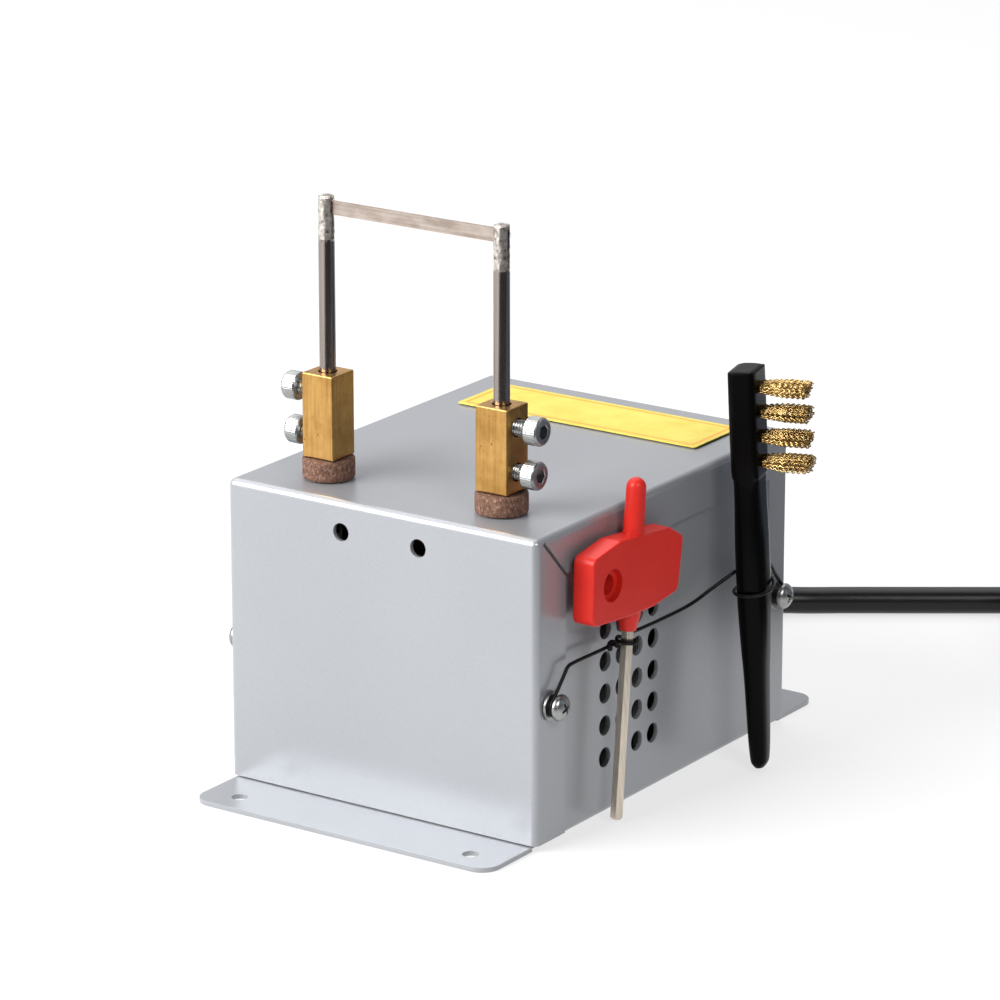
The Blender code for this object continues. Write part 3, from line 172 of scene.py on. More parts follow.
def loft(sections, caps=True):
    bm = bmesh.new()
    rings = [[bm.verts.new(p) for p in section] for section in sections]
    skin(bm, rings)
    if caps:
        bm.faces.new(rings[0][::-1])
        bm.faces.new(rings[-1])
    return bm


def sweep(bm, points, radius, sides=10):
    """A capped tube along points, whose radius is a number or one per point."""
    points = [Vector(p) for p in points]
    side = (points[1] - points[0]).orthogonal().normalized()
    rings = []
    for k, point in enumerate(points):
        along = (points[min(k + 1, len(points) - 1)] - points[max(k - 1, 0)]).normalized()
        side = (side - along * side.dot(along)).normalized()
        other = along.cross(side)
        r = radius[k] if isinstance(radius, list) else radius
        angles = [2 * pi * i / sides for i in range(sides)]
        rings.append([bm.verts.new(point + (side * cos(a) + other * sin(a)) * r) for a in angles])
    skin(bm, rings)
    bm.faces.new(rings[0][::-1])
    bm.faces.new(rings[-1])


def box_mesh(low, high, turn=None, bevel=0.0, segments=3):
    bm = bmesh.new()
    add_box(bm, low, high, turn)
    if bevel:
        bmesh.ops.bevel(bm, geom=bm.edges[:], offset=bevel, segments=segments, affect="EDGES", profile=0.5)
    return bm


def add_box(bm, low, high, turn=None):
    low, high = Vector(low), Vector(high)
    size = Matrix.Diagonal((*(high - low), 1.0))
    spin = turn.to_4x4() if turn else Matrix.Identity(4)
    bmesh.ops.create_cube(bm, size=1.0, matrix=Matrix.Translation((low + high) / 2) @ spin @ size)


def add_cylinder(bm, radius, start, end, segments=40):
    start, end = Vector(start), Vector(end)
    turn = (end - start).to_track_quat("Z", "Y").to_matrix().to_4x4()
    place = Matrix.Translation((start + end) / 2) @ turn
    depth = (end - start).length
    shape = {"radius1": radius, "radius2": radius, "depth": depth, "segments": segments}
    bmesh.ops.create_cone(bm, cap_ends=True, matrix=place, **shape)


def cylinders(rows, segments=40):
    bm = bmesh.new()
    for radius, start, end in rows:
        add_cylinder(bm, radius, start, end, segments)
    return bm


def to_object(name, bm, matrix=None):
    if matrix is not None:
        bm.transform(matrix)
    bmesh.ops.recalc_face_normals(bm, faces=bm.faces)
    mesh = bpy.data.meshes.new(name)
    bm.to_mesh(mesh)
    bm.free()
    return linked(name, mesh)


def bake(obj):
    """Applies the object's modifiers to its mesh."""
    bpy.context.view_layer.update()
    evaluated = obj.evaluated_get(bpy.context.evaluated_depsgraph_get())
    mesh = bpy.data.meshes.new_from_object(evaluated)
    obj.modifiers.clear()
    obj.data = mesh
    return obj


def carve(obj, bm, operation="DIFFERENCE", matrix=None):
    """Cuts or joins a closed mesh, which is used up."""
    cutter = to_object("cutter", bm, matrix)
    mod = obj.modifiers.new("carve", "BOOLEAN")
    mod.operation = operation
    mod.solver = "EXACT"
    mod.object = cutter
    bake(obj)
    bpy.data.objects.remove(cutter)
    return obj


def soften(obj, width, segments=2, angle=40):
    mod = obj.modifiers.new("edges", "BEVEL")
    mod.width = width
    mod.segments = segments
    mod.limit_method = "ANGLE"
    mod.angle_limit = radians(angle)
    return bake(obj)


def shaded(obj, angle=38):
    """Smooth shading that leaves large flats flat next to their rounded edges."""
    obj.data.shade_smooth()
    obj.data.set_sharp_from_angle(angle=radians(angle))
    mod = obj.modifiers.new("normals", "WEIGHTED_NORMAL")
    mod.keep_sharp = True
    return bake(obj)


def finish_piece(obj, mat, body, node, angle=38):
    """Gives a piece its material, smooth shading and body, and hides the CAD node, or nodes, that it stands
    for.
    """
    nodes = [node] if isinstance(node, str) else node
    obj.data.materials.clear()
    obj.data.materials.append(mat)
    if obj.type == "MESH":
        shaded(obj, angle)
    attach(obj, body)
    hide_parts(*nodes)
    return obj


def arc(centre, radius, start, end, steps):
    angles = [radians(start + (end - start) * k / steps) for k in range(steps + 1)]
    return [(centre[0] + radius * cos(a), centre[1] + radius * sin(a)) for a in angles]


def fillet(corners, radius, steps=6):
    """An outline with each corner rounded."""
    outline = []
    for k, corner in enumerate(corners):
        here = Vector(corner)
        back = (Vector(corners[k - 1]) - here).normalized()
        ahead = (Vector(corners[(k + 1) % len(corners)]) - here).normalized()
        half = back.angle(ahead) / 2
        centre = here + (back + ahead).normalized() * radius / sin(half)
        reach = radius / tan(half)
        first, last = here + back * reach - centre, here + ahead * reach - centre
        sweep_angle = first.angle_signed(last)
        for step in range(steps + 1):
            spoke = first.copy()
            spoke.rotate(Matrix.Rotation(-sweep_angle * step / steps, 2))
            outline.append(tuple(centre + spoke))
    return outline


def rounded_box(half_x, half_y, radius):
    corners = [(half_x, half_y), (-half_x, half_y), (-half_x, -half_y), (half_x, -half_y)]
    return fillet(corners, radius)


def superellipse(half_a, half_b, power, count):
    def bulge(share, half):
        return copysign(abs(share) ** (2 / power), share) * half

    angles = [2 * pi * (k + 0.5) / count for k in range(count)]
    return [(bulge(cos(a), half_a), bulge(sin(a), half_b)) for a in angles]


def hexagon(flats, scale=1.0, blunt=2.0, extra=0.0):
    """A hexagon's radius by angle; its corners are cut at blunt times the half width."""

    def radius(angle):
        sharp = flats / 2 / cos((angle % (pi / 3)) - pi / 6)
        return min(sharp, flats / 2 * blunt) * scale + extra

    return radius


def sideways(side, spot, spin):
    """Turns an upright screw to point out of a side wall, after a spin about its own axis."""
    turn = Matrix.Rotation(side * pi / 2, 4, "Y") @ Matrix.Rotation(radians(spin), 4, "Z")
    return Matrix.Translation(spot) @ turn


def smooth_rows(rows, steps):
    """Rows of numbers on smooth curves through the given rows, by Catmull-Rom."""
    rows = [Vector(r) for r in rows]
    ends = [2 * rows[0] - rows[1], *rows, 2 * rows[-1] - rows[-2]]
    found = [rows[0]]
    for a, b, c, d in zip(ends, ends[1:], ends[2:], ends[3:]):
        for k in range(1, steps + 1):
            t = k / steps
            cubic = (3 * b - a - 3 * c + d) * t**3
            found.append(0.5 * (2 * b + (c - a) * t + (2 * a - 5 * b + 4 * c - d) * t**2 + cubic))
    return found


# --- Materials ---

def add_node(tree, kind, output, inputs, **settings):
    """A new node with its inputs set or linked by name, and one of its outputs."""
    node = tree.nodes.new("ShaderNode" + kind)
    for name, setting in settings.items():
        setattr(node, name, setting)
    for name, source in inputs.items():
        socket = node.inputs[name] if isinstance(name, int) else next(
            s for s in node.inputs if s.name == name and s.enabled
        )
        if isinstance(source, bpy.types.NodeSocket):
            tree.links.new(source, socket)
        else:
            socket.default_value = (*source, 1.0) if socket.type == "RGBA" else source
    return node, next(s for s in node.outputs if s.name == output and s.enabled)


def set_stops(node, stops):
    elements = node.color_ramp.elements
    while len(elements) < len(stops):
        elements.new(0.5)
    for element, (position, color) in zip(elements, stops):
        element.position = position
        element.color = (*color, 1.0) if hasattr(color, "__len__") else (color, color, color, 1.0)


class Finish:
    """A Principled material, with short calls for the procedural nodes that the finishes share."""

    def __init__(self, name, color, roughness, metallic=0.0, **constants):
        self.mat = bpy.data.materials.new(name)
        self.mat.use_nodes = True
        self.tree = self.mat.node_tree
        self.shader = self.tree.nodes["Principled BSDF"]
        self.place = self.tree.nodes.new("ShaderNodeTexCoord").outputs["Object"]
        constants |= {"Base Color": (*color, 1.0), "Roughness": roughness, "Metallic": metallic}
        for socket, number in constants.items():
            self.shader.inputs[socket.replace("_", " ")].default_value = number
        self.relief = {}

    def add(self, kind, output, inputs, **settings):
        return add_node(self.tree, kind, output, inputs, **settings)[1]

    def stretched(self, scale):
        scale = scale if isinstance(scale, tuple) else (scale,) * 3
        return self.add("Mapping", "Vector", {"Vector": self.place, "Scale": scale})

    def noise(self, scale, detail=3.0, rough=0.55):
        inputs = {"Vector": self.stretched(scale), "Scale": 1.0, "Detail": detail, "Roughness": rough}
        return self.add("TexNoise", "Fac", inputs)

    def cells(self, scale):
        return self.add("TexVoronoi", "Distance", {"Vector": self.stretched(scale), "Scale": 1.0})

    def waves(self, scale, axis, distortion):
        inputs = {"Vector": self.place, "Scale": scale, "Distortion": distortion, "Detail": 2.0}
        return self.add("TexWave", "Fac", inputs, bands_direction=axis)

    def math(self, operation, a, b=0.0):
        return self.add("Math", "Value", {0: a, 1: b}, operation=operation)

    def ramp(self, source, stops):
        """Colours or greys along a source, as (position, colour) stops."""
        node, output = add_node(self.tree, "ValToRGB", "Color", {"Fac": source})
        set_stops(node, stops)
        return output

    def tones(self, source, color, low, high):
        """A colour times low to high along a source."""
        return self.ramp(source, [(0.3, shade(color, low)), (0.7, shade(color, high))])

    def mix(self, factor, a, b, kind="MIX"):
        inputs = {"Factor": factor, "A": a, "B": b}
        return self.add("Mix", "Result", inputs, data_type="RGBA", blend_type=kind)

    def color(self, source):
        self.tree.links.new(source, self.shader.inputs["Base Color"])

    def roughness(self, source, low, high):
        found = self.add("MapRange", "Result", {"Value": source, "To Min": low, "To Max": high})
        self.tree.links.new(found, self.shader.inputs["Roughness"])

    def bump(self, source, depth):
        """Relief of a depth in metres, added to any earlier relief."""
        inputs = {"Height": source, "Distance": depth, "Strength": 1.0} | self.relief
        normal = self.add("Bump", "Normal", inputs)
        self.relief = {"Normal": normal}
        self.tree.links.new(normal, self.shader.inputs["Normal"])


def shade(color, factor):
    return tuple(min(1.0, c * factor) for c in color)


def varied(finish, color, scale, spread):
    """Uneven colour about its mean."""
    finish.color(finish.tones(finish.noise(scale), color, 1 - spread, 1 + spread))
    return finish


def silver_paint():
    base = (0.33, 0.34, 0.36)
    f = Finish("silver_paint", base, 0.36, 0.44)
    glitter = f.ramp(f.cells(2600), [(0.0, 1.0), (0.9, 0.86)])
    f.color(f.mix(0.6, f.tones(f.noise(14, 2), base, 0.965, 1.035), glitter, "MULTIPLY"))
    f.roughness(f.noise(60), 0.27, 0.34)
    f.bump(f.noise(850, 2, 0.5), 0.022 * MM)
    f.bump(f.noise(3600, 2, 0.5), 0.006 * MM)
    return f.mat


def zinc_plate():
    base = (0.34, 0.345, 0.34)
    f = varied(Finish("zinc_plate", base, 0.2, 1.0), base, 500, 0.08)
    f.roughness(f.noise(900), 0.27, 0.38)
    f.bump(f.noise(2600), 0.002 * MM)
    return f.mat


def dark_zinc():
    base = (0.30, 0.29, 0.27)
    f = varied(Finish("zinc_plate_inner", base, 0.35, 1.0), base, 700, 0.2)
    f.bump(f.noise(2400), 0.01 * MM)
    return f.mat


def nickel_rod():
    base = (0.31, 0.27, 0.245)
    f = Finish("nickel_rod", base, 0.16, 1.0)
    streak = f.noise((2600, 2600, 40))
    f.color(f.tones(streak, base, 0.86, 1.1))
    f.roughness(f.noise((1200, 1200, 90)), 0.1, 0.24)
    f.bump(streak, 0.004 * MM)
    return f.mat


def tinned_tip():
    base = (0.66, 0.61, 0.56)
    f = Finish("tinned_tip", base, 0.3, 1.0)
    lumps = f.noise(900, 4, 0.6)
    pits = (0.16, 0.13, 0.11)
    f.color(f.ramp(lumps, [(0.32, pits), (0.46, shade(base, 0.8)), (0.68, shade(base, 1.25))]))
    f.roughness(lumps, 0.42, 0.2)
    f.bump(lumps, 0.18 * MM)
    return f.mat


def shank_steel():
    base = (0.62, 0.55, 0.46)
    f = Finish("shank_steel", base, 0.3, 1.0)
    streak = f.noise((2200, 2200, 120))
    f.color(f.tones(streak, base, 0.8, 1.12))
    f.roughness(f.noise(400), 0.24, 0.38)
    f.bump(streak, 0.008 * MM)
    return f.mat


def nichrome():
    base = (0.45, 0.385, 0.34)
    f = Finish("nichrome", base, 0.36, 1.0)
    rolled = f.noise((30, 3000, 2600))
    tint = f.ramp(f.noise((160, 160, 400)), [(0.35, (0.62, 0.56, 0.52)), (0.6, 1.0)])
    f.color(f.mix(0.7, f.tones(rolled, base, 0.82, 1.12), tint, "MULTIPLY"))
    f.roughness(rolled, 0.28, 0.46)
    f.bump(rolled, 0.01 * MM)
    return f.mat


def brass():
    base = (0.54, 0.31, 0.10)
    f = Finish("brass", base, 0.34, 1.0)
    drawn = f.noise((1500, 1500, 70), 4, 0.6)
    metal = f.ramp(drawn, [(0.25, shade(base, 0.74)), (0.55, base), (0.8, shade(base, 1.16))])
    dull = f.ramp(f.noise(160, 4, 0.6), [(0.35, (0.74, 0.70, 0.62)), (0.62, 1.0)])
    dots = f.ramp(f.noise(900, 2), [(0.24, (0.42, 0.36, 0.28)), (0.3, 1.0)])
    f.color(f.mix(1.0, f.mix(1.0, metal, dull, "MULTIPLY"), dots, "MULTIPLY"))
    f.roughness(drawn, 0.26, 0.46)
    f.bump(drawn, 0.035 * MM)
    f.bump(f.noise((260, 260, 3000)), 0.012 * MM)
    return f.mat


def bristle_brass():
    base = (0.36, 0.235, 0.085)
    f = Finish("brass_wire", base, 0.34, 1.0)
    # The noise varies the wires' tone; its dark stop is painted shadow between the wires and its pale stop
    # is a painted highlight.
    f.color(f.ramp(f.noise(900), [(0.32, (0.13, 0.07, 0.02)), (0.5, base), (0.72, (0.58, 0.43, 0.2))]))
    f.roughness(f.noise(2000, 2), 0.18, 0.3)
    return f.mat


def copper():
    base = (0.74, 0.34, 0.19)
    f = varied(Finish("copper", base, 0.32, 1.0), base, 220, 0.2)
    f.roughness(f.noise(500), 0.22, 0.48)
    f.bump(f.noise(900), 0.01 * MM)
    return f.mat


def enamelled_wire():
    base = (0.36, 0.10, 0.035)
    f = varied(Finish("enamelled_wire", base, 0.26, 0.45, Coat_Weight=0.6), base, 500, 0.22)
    f.roughness(f.noise(600), 0.2, 0.36)
    f.bump(f.noise(2200, 2), 0.008 * MM)
    return f.mat


def insulating_fibre():
    f = Finish("insulating_fibre", (0.17, 0.09, 0.065), 0.85)
    weave = f.noise((1500, 1500, 900), 3, 0.7)
    specks = f.cells(1900)
    dark, brown, pale = (0.045, 0.02, 0.012), (0.15, 0.072, 0.045), (0.34, 0.21, 0.14)
    fibres = f.ramp(weave, [(0.3, dark), (0.55, brown), (0.75, pale)])
    pits = f.ramp(specks, [(0.12, (0.5, 0.45, 0.42)), (0.4, 1.0)])
    f.color(f.mix(1.0, fibres, pits, "MULTIPLY"))
    f.bump(weave, 0.12 * MM)
    f.bump(specks, 0.05 * MM)
    return f.mat


def laminated_steel():
    f = Finish("laminated_steel", (0.2, 0.2, 0.21), 0.45, 0.7)
    sheets = f.waves(320, "Y", 0.4)
    gap, face, sheen = (0.05, 0.05, 0.055), (0.20, 0.20, 0.21), (0.30, 0.30, 0.31)
    f.color(f.ramp(sheets, [(0.0, gap), (0.35, face), (1.0, sheen)]))
    f.roughness(f.noise(300), 0.35, 0.6)
    f.bump(sheets, 0.08 * MM)
    return f.mat


def moulded(name, base, roughness, grain=2400, depth=0.01, spread=0.06, **constants):
    """Moulded plastic or rubber with a fine skin."""
    f = varied(Finish(name, base, roughness, **constants), base, 90, spread)
    f.roughness(f.noise(260), roughness * 0.85, min(1.0, roughness * 1.2))
    f.bump(f.noise(grain, 2, 0.5), depth * MM)
    return f.mat


def extruded(name, base, roughness, **constants):
    """Cord sheath or wire insulation: drawn smooth, with faint waves."""
    f = varied(Finish(name, base, roughness, **constants), base, 60, 0.15)
    f.roughness(f.noise(180), roughness * 0.8, roughness * 1.25)
    f.bump(f.noise(140, 2), 0.06 * MM)
    f.bump(f.noise(2600, 2), 0.006 * MM)
    return f.mat


def annealed_wire():
    base = (0.008, 0.008, 0.008)
    f = varied(Finish("annealed_wire", base, 0.36, 0.5, Specular_IOR_Level=0.25), base, 800, 0.4)
    f.roughness(f.noise(1100), 0.28, 0.5)
    f.bump(f.noise(2500), 0.02 * MM)
    return f.mat


def label_paper(low, high):
    """Yellow paper with a plain orange line near its edge, and nothing printed inside it."""
    f = Finish("label_yellow", (0.83, 0.66, 0.07), 0.45)
    centre, half = (low + high) / 2, (high - low) / 2
    split = f.tree.nodes.new("ShaderNodeSeparateXYZ")
    f.tree.links.new(f.place, split.inputs[0])
    inset = None
    for axis in (0, 1):
        offset = f.math("SUBTRACT", split.outputs[axis], centre[axis])
        edge = f.math("SUBTRACT", half[axis], f.math("ABSOLUTE", offset))
        inset = edge if inset is None else f.math("MINIMUM", inset, edge)
    line_middle, line_half = 1.7 * MM, 0.42 * MM
    away = f.math("ABSOLUTE", f.math("SUBTRACT", inset, line_middle))
    line = f.math("LESS_THAN", away, line_half)
    mottle = f.ramp(f.noise(160, 4), [(0.3, (0.54, 0.43, 0.045)), (0.7, (0.63, 0.53, 0.09))])
    f.color(f.mix(line, mottle, (0.72, 0.27, 0.02)))
    f.roughness(f.noise(300), 0.36, 0.55)
    f.bump(f.noise(1300), 0.01 * MM)
    return f.mat


PAINT = silver_paint()
ZINC = zinc_plate()
ZINC_INNER = dark_zinc()
NICKEL = nickel_rod()
TINNED = tinned_tip()
SHANK_STEEL = shank_steel()
NICHROME = nichrome()
BRASS = brass()
BRISTLES = bristle_brass()
COPPER = copper()
ENAMEL = enamelled_wire()
FIBRE = insulating_fibre()
LAMINATIONS = laminated_steel()
NYLON = moulded("white_nylon", (0.78, 0.77, 0.72), 0.45)
BLACK_PVC = extruded("black_pvc", (0.004, 0.004, 0.0045), 0.3, Specular_IOR_Level=0.3)
PLUG_PVC = moulded("plug_pvc", (0.014, 0.014, 0.015), 0.42, 1600, 0.02)
RUBBER = moulded("black_rubber", (0.022, 0.022, 0.022), 0.6, 1500, 0.03)
BLACK_PLASTIC = moulded(
    "black_plastic", (0.0012, 0.0012, 0.0013), 0.24, 1500, 0.008, Specular_IOR_Level=0.3, IOR=1.2
)
RED_PLASTIC = moulded("red_plastic", (0.54, 0.018, 0.011), 0.33, spread=0.04, Specular_IOR_Level=0.25)
ANNEALED = annealed_wire()
BROWN_PVC = extruded("brown_pvc", (0.17, 0.07, 0.03), 0.4)
BLUE_PVC = extruded("blue_pvc", (0.03, 0.11, 0.45), 0.4)
GREEN_PVC = extruded("green_yellow_pvc", (0.16, 0.38, 0.05), 0.4)
LABEL = label_paper(*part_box("top_label"))


# --- Studio ---

def camera():
    data = bpy.data.cameras.new("camera")
    data.lens = CAMERA_LENS
    data.sensor_width = 36.0
    data.clip_start, data.clip_end = 0.05, 20.0
    obj = linked("camera", data)
    obj.location = CAMERA_PLACE
    obj.rotation_euler = (pi / 2 - CAMERA_PITCH, 0.0, CAMERA_YAW)
    bpy.context.scene.camera = obj


def floor():
    """A wide pale floor; its own faint glow keeps it even, like a light table."""
    bm = bmesh.new()
    bmesh.ops.create_grid(bm, x_segments=2, y_segments=2, size=6.0)
    obj = to_object("floor", bm, Matrix.Translation((0.0, 0.0, -0.05 * MM)))
    f = Finish("floor_white", FLOOR_SHADE, 0.9)
    f.shader.inputs["Emission Color"].default_value = (1.0, 1.0, 1.0, 1.0)
    f.shader.inputs["Emission Strength"].default_value = FLOOR_GLOW
    obj.data.materials.append(f.mat)


def dark_card(name, shade_of_card, near, far, left, right):
    """A dark card that only shows as a reflection in the polished parts; the floor stays pale."""
    ahead = Vector((-sin(CAMERA_YAW), cos(CAMERA_YAW), 0.0))
    across = Vector((cos(CAMERA_YAW), sin(CAMERA_YAW), 0.0))
    bm = bmesh.new()
    corners = ((near, left), (near, right), (far, right), (far, left))
    bm.faces.new([bm.verts.new(ahead * s + across * t - Vector((0, 0, 0.03 * MM))) for s, t in corners])
    obj = to_object(name, bm)
    obj.data.materials.append(Finish(name, shade_of_card, 0.9).mat)
    obj.visible_camera = obj.visible_diffuse = obj.visible_shadow = False


def soft_box(name, place, size, power, color=(1.0, 1.0, 1.0)):
    data = bpy.data.lights.new(name, "AREA")
    data.shape = "RECTANGLE"
    data.size, data.size_y = size
    data.energy = power
    data.color = color
    obj = linked(name, data)
    obj.location = place
    obj.rotation_euler = (Vector((0.0, 0.0, 0.07)) - Vector(place)).to_track_quat("-Z", "Y").to_euler()


def sky():
    """Soft grey surroundings: bright to the left and behind, dark towards the right front."""
    world = bpy.data.worlds.new("studio")
    bpy.context.scene.world = world
    world.use_nodes = True
    tree = world.node_tree
    background = tree.nodes["Background"]
    place = tree.nodes.new("ShaderNodeTexCoord").outputs["Generated"]
    sides = {0: place, 1: SKY_DARK_SIDE}
    _, dot = add_node(tree, "VectorMath", "Value", sides, operation="DOT_PRODUCT")
    _, span = add_node(tree, "MapRange", "Result", {"Value": dot, "From Min": -1.0})
    ramp, color = add_node(tree, "ValToRGB", "Color", {"Fac": span})
    set_stops(ramp, [(position, (grey, grey, grey * 1.03)) for position, grey in SKY_STOPS])
    tree.links.new(color, background.inputs["Color"])
    background.inputs["Strength"].default_value = SKY_STRENGTH


FLOOR_SHADE = (0.2, 0.2, 0.2)
FLOOR_GLOW = 0.69
SKY_DARK_SIDE = (0.80, -0.58, 0.12)  # unit vector to the right front
SKY_STOPS = [(0.0, 1.0), (0.4, 0.72), (0.56, 0.2), (0.7, 0.03), (1.0, 0.015)]
SKY_STRENGTH = 0.62

bpy.context.scene.view_settings.view_transform = "Standard"
camera()
floor()
sky()
dark_card("card_front", (0.002, 0.002, 0.002), -1.6, -0.25, -0.28, 1.4)
dark_card("card_right", (0.08, 0.105, 0.15), -0.25, 0.3, 0.165, 1.4)
soft_box("key_light", (-0.75, -1.25, 0.95), (1.4, 1.0), 68.0)
soft_box("top_light", (-0.6, 0.4, 1.5), (1.8, 1.8), 19.0)
soft_box("fill_light", (1.25, -0.7, 1.1), (0.7, 0.7), 13.0)
soft_box("edge_light", (1.3, 0.6, 0.4), (0.3, 0.6), 0.8, (0.7, 0.84, 1.0))


# --- Mains cord ---

def ease(turn, start, width):
    """From 0 to 1 over part of a turn, by half a cosine."""
    t = min(1.0, max(0.0, (turn - start) / width))
    return 0.5 - 0.5 * cos(pi * t)


def coil_points(per_turn=24):
    """The coil's turns, clockwise from above: three layers, two abreast, that never cross."""
    entry = atan2(0.8265, -0.5629)  # where the incoming lead is tangent to the outer turn
    leave = entry / (2 * pi) + 4  # ends on the right-hand side, heading forward
    points = []
    count = round(leave * per_turn)
    for k in range(count + 1):
        turn = leave * k / count
        inward = ease(turn, 0.78, 0.22) - ease(turn, 2.64, 0.22)
        upward = ease(turn, 1.71, 0.19) + ease(turn, 3.58, 0.18)
        radius = COIL_OUTER + (COIL_INNER - COIL_OUTER) * inward
        angle = entry - 2 * pi * turn
        spoke = Vector((cos(angle), sin(angle), 0.0)) * radius
        points.append(COIL_CENTRE + spoke + Vector((0.0, 0.0, CORD_LIE + TURN_PITCH * upward)))
    return points


def cord_route():
    start = Vector((middle("cord_gland").x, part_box("cord_gland")[1].y + GAP, middle("cord_gland").z))
    lie = CORD_LIE / MM
    out = [(-14.0, 91.0, 20.0), (-13.8, 100.5, 17.6), (-12.5, 110.0, 12.6), (-9.6, 118.4, 7.5)]
    out += [(-4.9, 125.6, 4.5), (1.3, 131.1, lie), (14.9, 140.3, lie), (28.5, 149.5, lie)]
    out += [(48.1, 162.8, lie), (67.3, 175.8, lie)]
    tail = [(158.8, 142.0, 18.0), (158.7, 130.0, 16.9), (158.1, 121.0, 14.6), (157.2, 113.0, 12.5)]
    plug_end = Vector((157.0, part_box("cord_tail")[0].y / MM, 12.0))
    tail += [plug_end + Vector((0.0, 2.5, 0.0)), plug_end]
    return [start] + [Vector(p) * MM for p in out] + coil_points() + [Vector(p) * MM for p in tail]


def mains_cord():
    route = cord_route()
    curve = bpy.data.curves.new("mains_lead", "CURVE")
    curve.dimensions = "3D"
    curve.bevel_depth = CORD_RADIUS
    curve.bevel_resolution = 6
    curve.resolution_u = 6
    curve.use_fill_caps = True
    spline = curve.splines.new("BEZIER")
    spline.bezier_points.add(len(route) - 1)
    for point, place in zip(spline.bezier_points, route):
        point.co = place
        point.handle_left_type = point.handle_right_type = "AUTO"
    obj = linked("mains_lead", curve)
    finish_piece(obj, BLACK_PVC, "enclosure", ["mains_cord", "cord_coil", "cord_tail"])
    return obj, route


def plug_body():
    """A moulded plug with finger grips and a ribbed tail."""
    low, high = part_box("plug_body")
    axis_x, axis_z = (low.x + high.x) / 2, (low.z + high.z) / 2
    half_x, half_z = (high.x - low.x) / 2, (high.z - low.z) / 2
    tail = (high.y - low.y) / MM
    rows = [(0.0, half_x - 0.8 * MM, half_z - 0.8 * MM, 4.0), (0.8, half_x, half_z, 4.2)]
    rows += [(4.0, half_x, half_z, 4.0), (14.0, 12.8 * MM, 11.3 * MM, 3.6)]
    rows += [(22.0, 11.9 * MM, 10.3 * MM, 3.4), (33.0, 10.2 * MM, 8.8 * MM, 2.9)]
    rows += [(36.0, 6.6 * MM, 6.3 * MM, 2.2), (38.0, 5.3 * MM, 5.3 * MM, 2.0)]
    rows += [(tail - 1.0, 4.8 * MM, 4.8 * MM, 2.0), (tail, 4.2 * MM, 4.2 * MM, 2.0)]
    sections = []
    for along, a, b, power in smooth_rows(rows, 8):
        ribs = 38.5 < along < tail - 1.5
        deepest = 0.35 * MM if ribs else 0.45 * MM if 16.0 < along < 31.0 else 0.0
        dip = deepest * max(0.0, sin(along * pi / 1.5)) ** 2
        outline = superellipse(max(a - dip, MM), max(b - (dip if ribs else 0.0), MM), power, 64)
        sections.append([(axis_x + x, low.y + min(along, tail) * MM, axis_z + z) for x, z in outline])
    obj = to_object("moulded_plug", loft(sections))
    return finish_piece(obj, PLUG_PVC, "enclosure", "plug_body", 50)


def plug_pins():
    """Flat pins with rounded ends."""
    width, thick = 6.3 * MM, 1.6 * MM
    pins = []
    for name, turn in (("live", 60), ("neutral", -60), ("earth", 90)):
        node = f"plug_pin_{name}"
        low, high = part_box(node)
        length, half = high.y - low.y, width / 2
        rounded = arc((half - 1.2 * MM, -length + 1.2 * MM), 1.2 * MM, -90, 0, 6)
        outline = [(half, 0.0), (-half, 0.0)] + [(-x, y) for x, y in reversed(rounded)] + rounded
        sections = [[(x, y, z) for x, y in outline] for z in (-thick / 2, thick / 2)]
        bm = loft(sections)
        spot = Vector(((low.x + high.x) / 2, high.y, (low.z + high.z) / 2))
        matrix = Matrix.Translation(spot) @ Matrix.Rotation(radians(turn), 4, "Y")
        obj = soften(to_object(f"{name}_pin", bm, matrix), 0.25 * MM, 3)
        pins.append(finish_piece(obj, BRASS, "enclosure", node))
    return pins


def cord_gland():
    """A bend-relief boot with ring grooves, and its collar inside the wall."""
    low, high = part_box("cord_gland")
    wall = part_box("cover")[1].y
    length = high.y - wall
    rows = [(0.0, length), (4.1 * MM, length), (4.6 * MM, length - 0.5 * MM)]
    for k in range(8):
        top = length - 1.6 * MM - k * 2.25 * MM
        radius = (4.8 + 0.13 * k) * MM
        rows += [(radius, top), (radius - 0.9 * MM, top - 0.25 * MM), (radius - 0.9 * MM, top - 0.95 * MM)]
        rows += [(radius + 0.1 * MM, top - 1.2 * MM)]
    rows += mm([(6.0, 4.2), (6.7, 3.9), (7.3, 3.3), (7.5, 2.8)]) + [(7.5 * MM, GAP)]
    inside = low.y - wall
    neck = GLAND_HOLE_RADIUS - GAP
    rows += [(neck, GAP), (neck, -SHEET - GAP), (7.0 * MM, -SHEET - GAP), (6.4 * MM, inside), (0.0, inside)]
    spot = Matrix.Translation((middle("cord_gland").x, wall, middle("cord_gland").z))
    turn = Matrix.Rotation(-pi / 2, 4, "X")
    obj = to_object("bend_relief", lathe(rows, 56), spot @ turn)
    finish_piece(obj, RUBBER, "enclosure", "cord_gland", 45)


lead, lead_route = mains_cord()
plug_body()
plug_pins()
cord_gland()


# --- Case ---

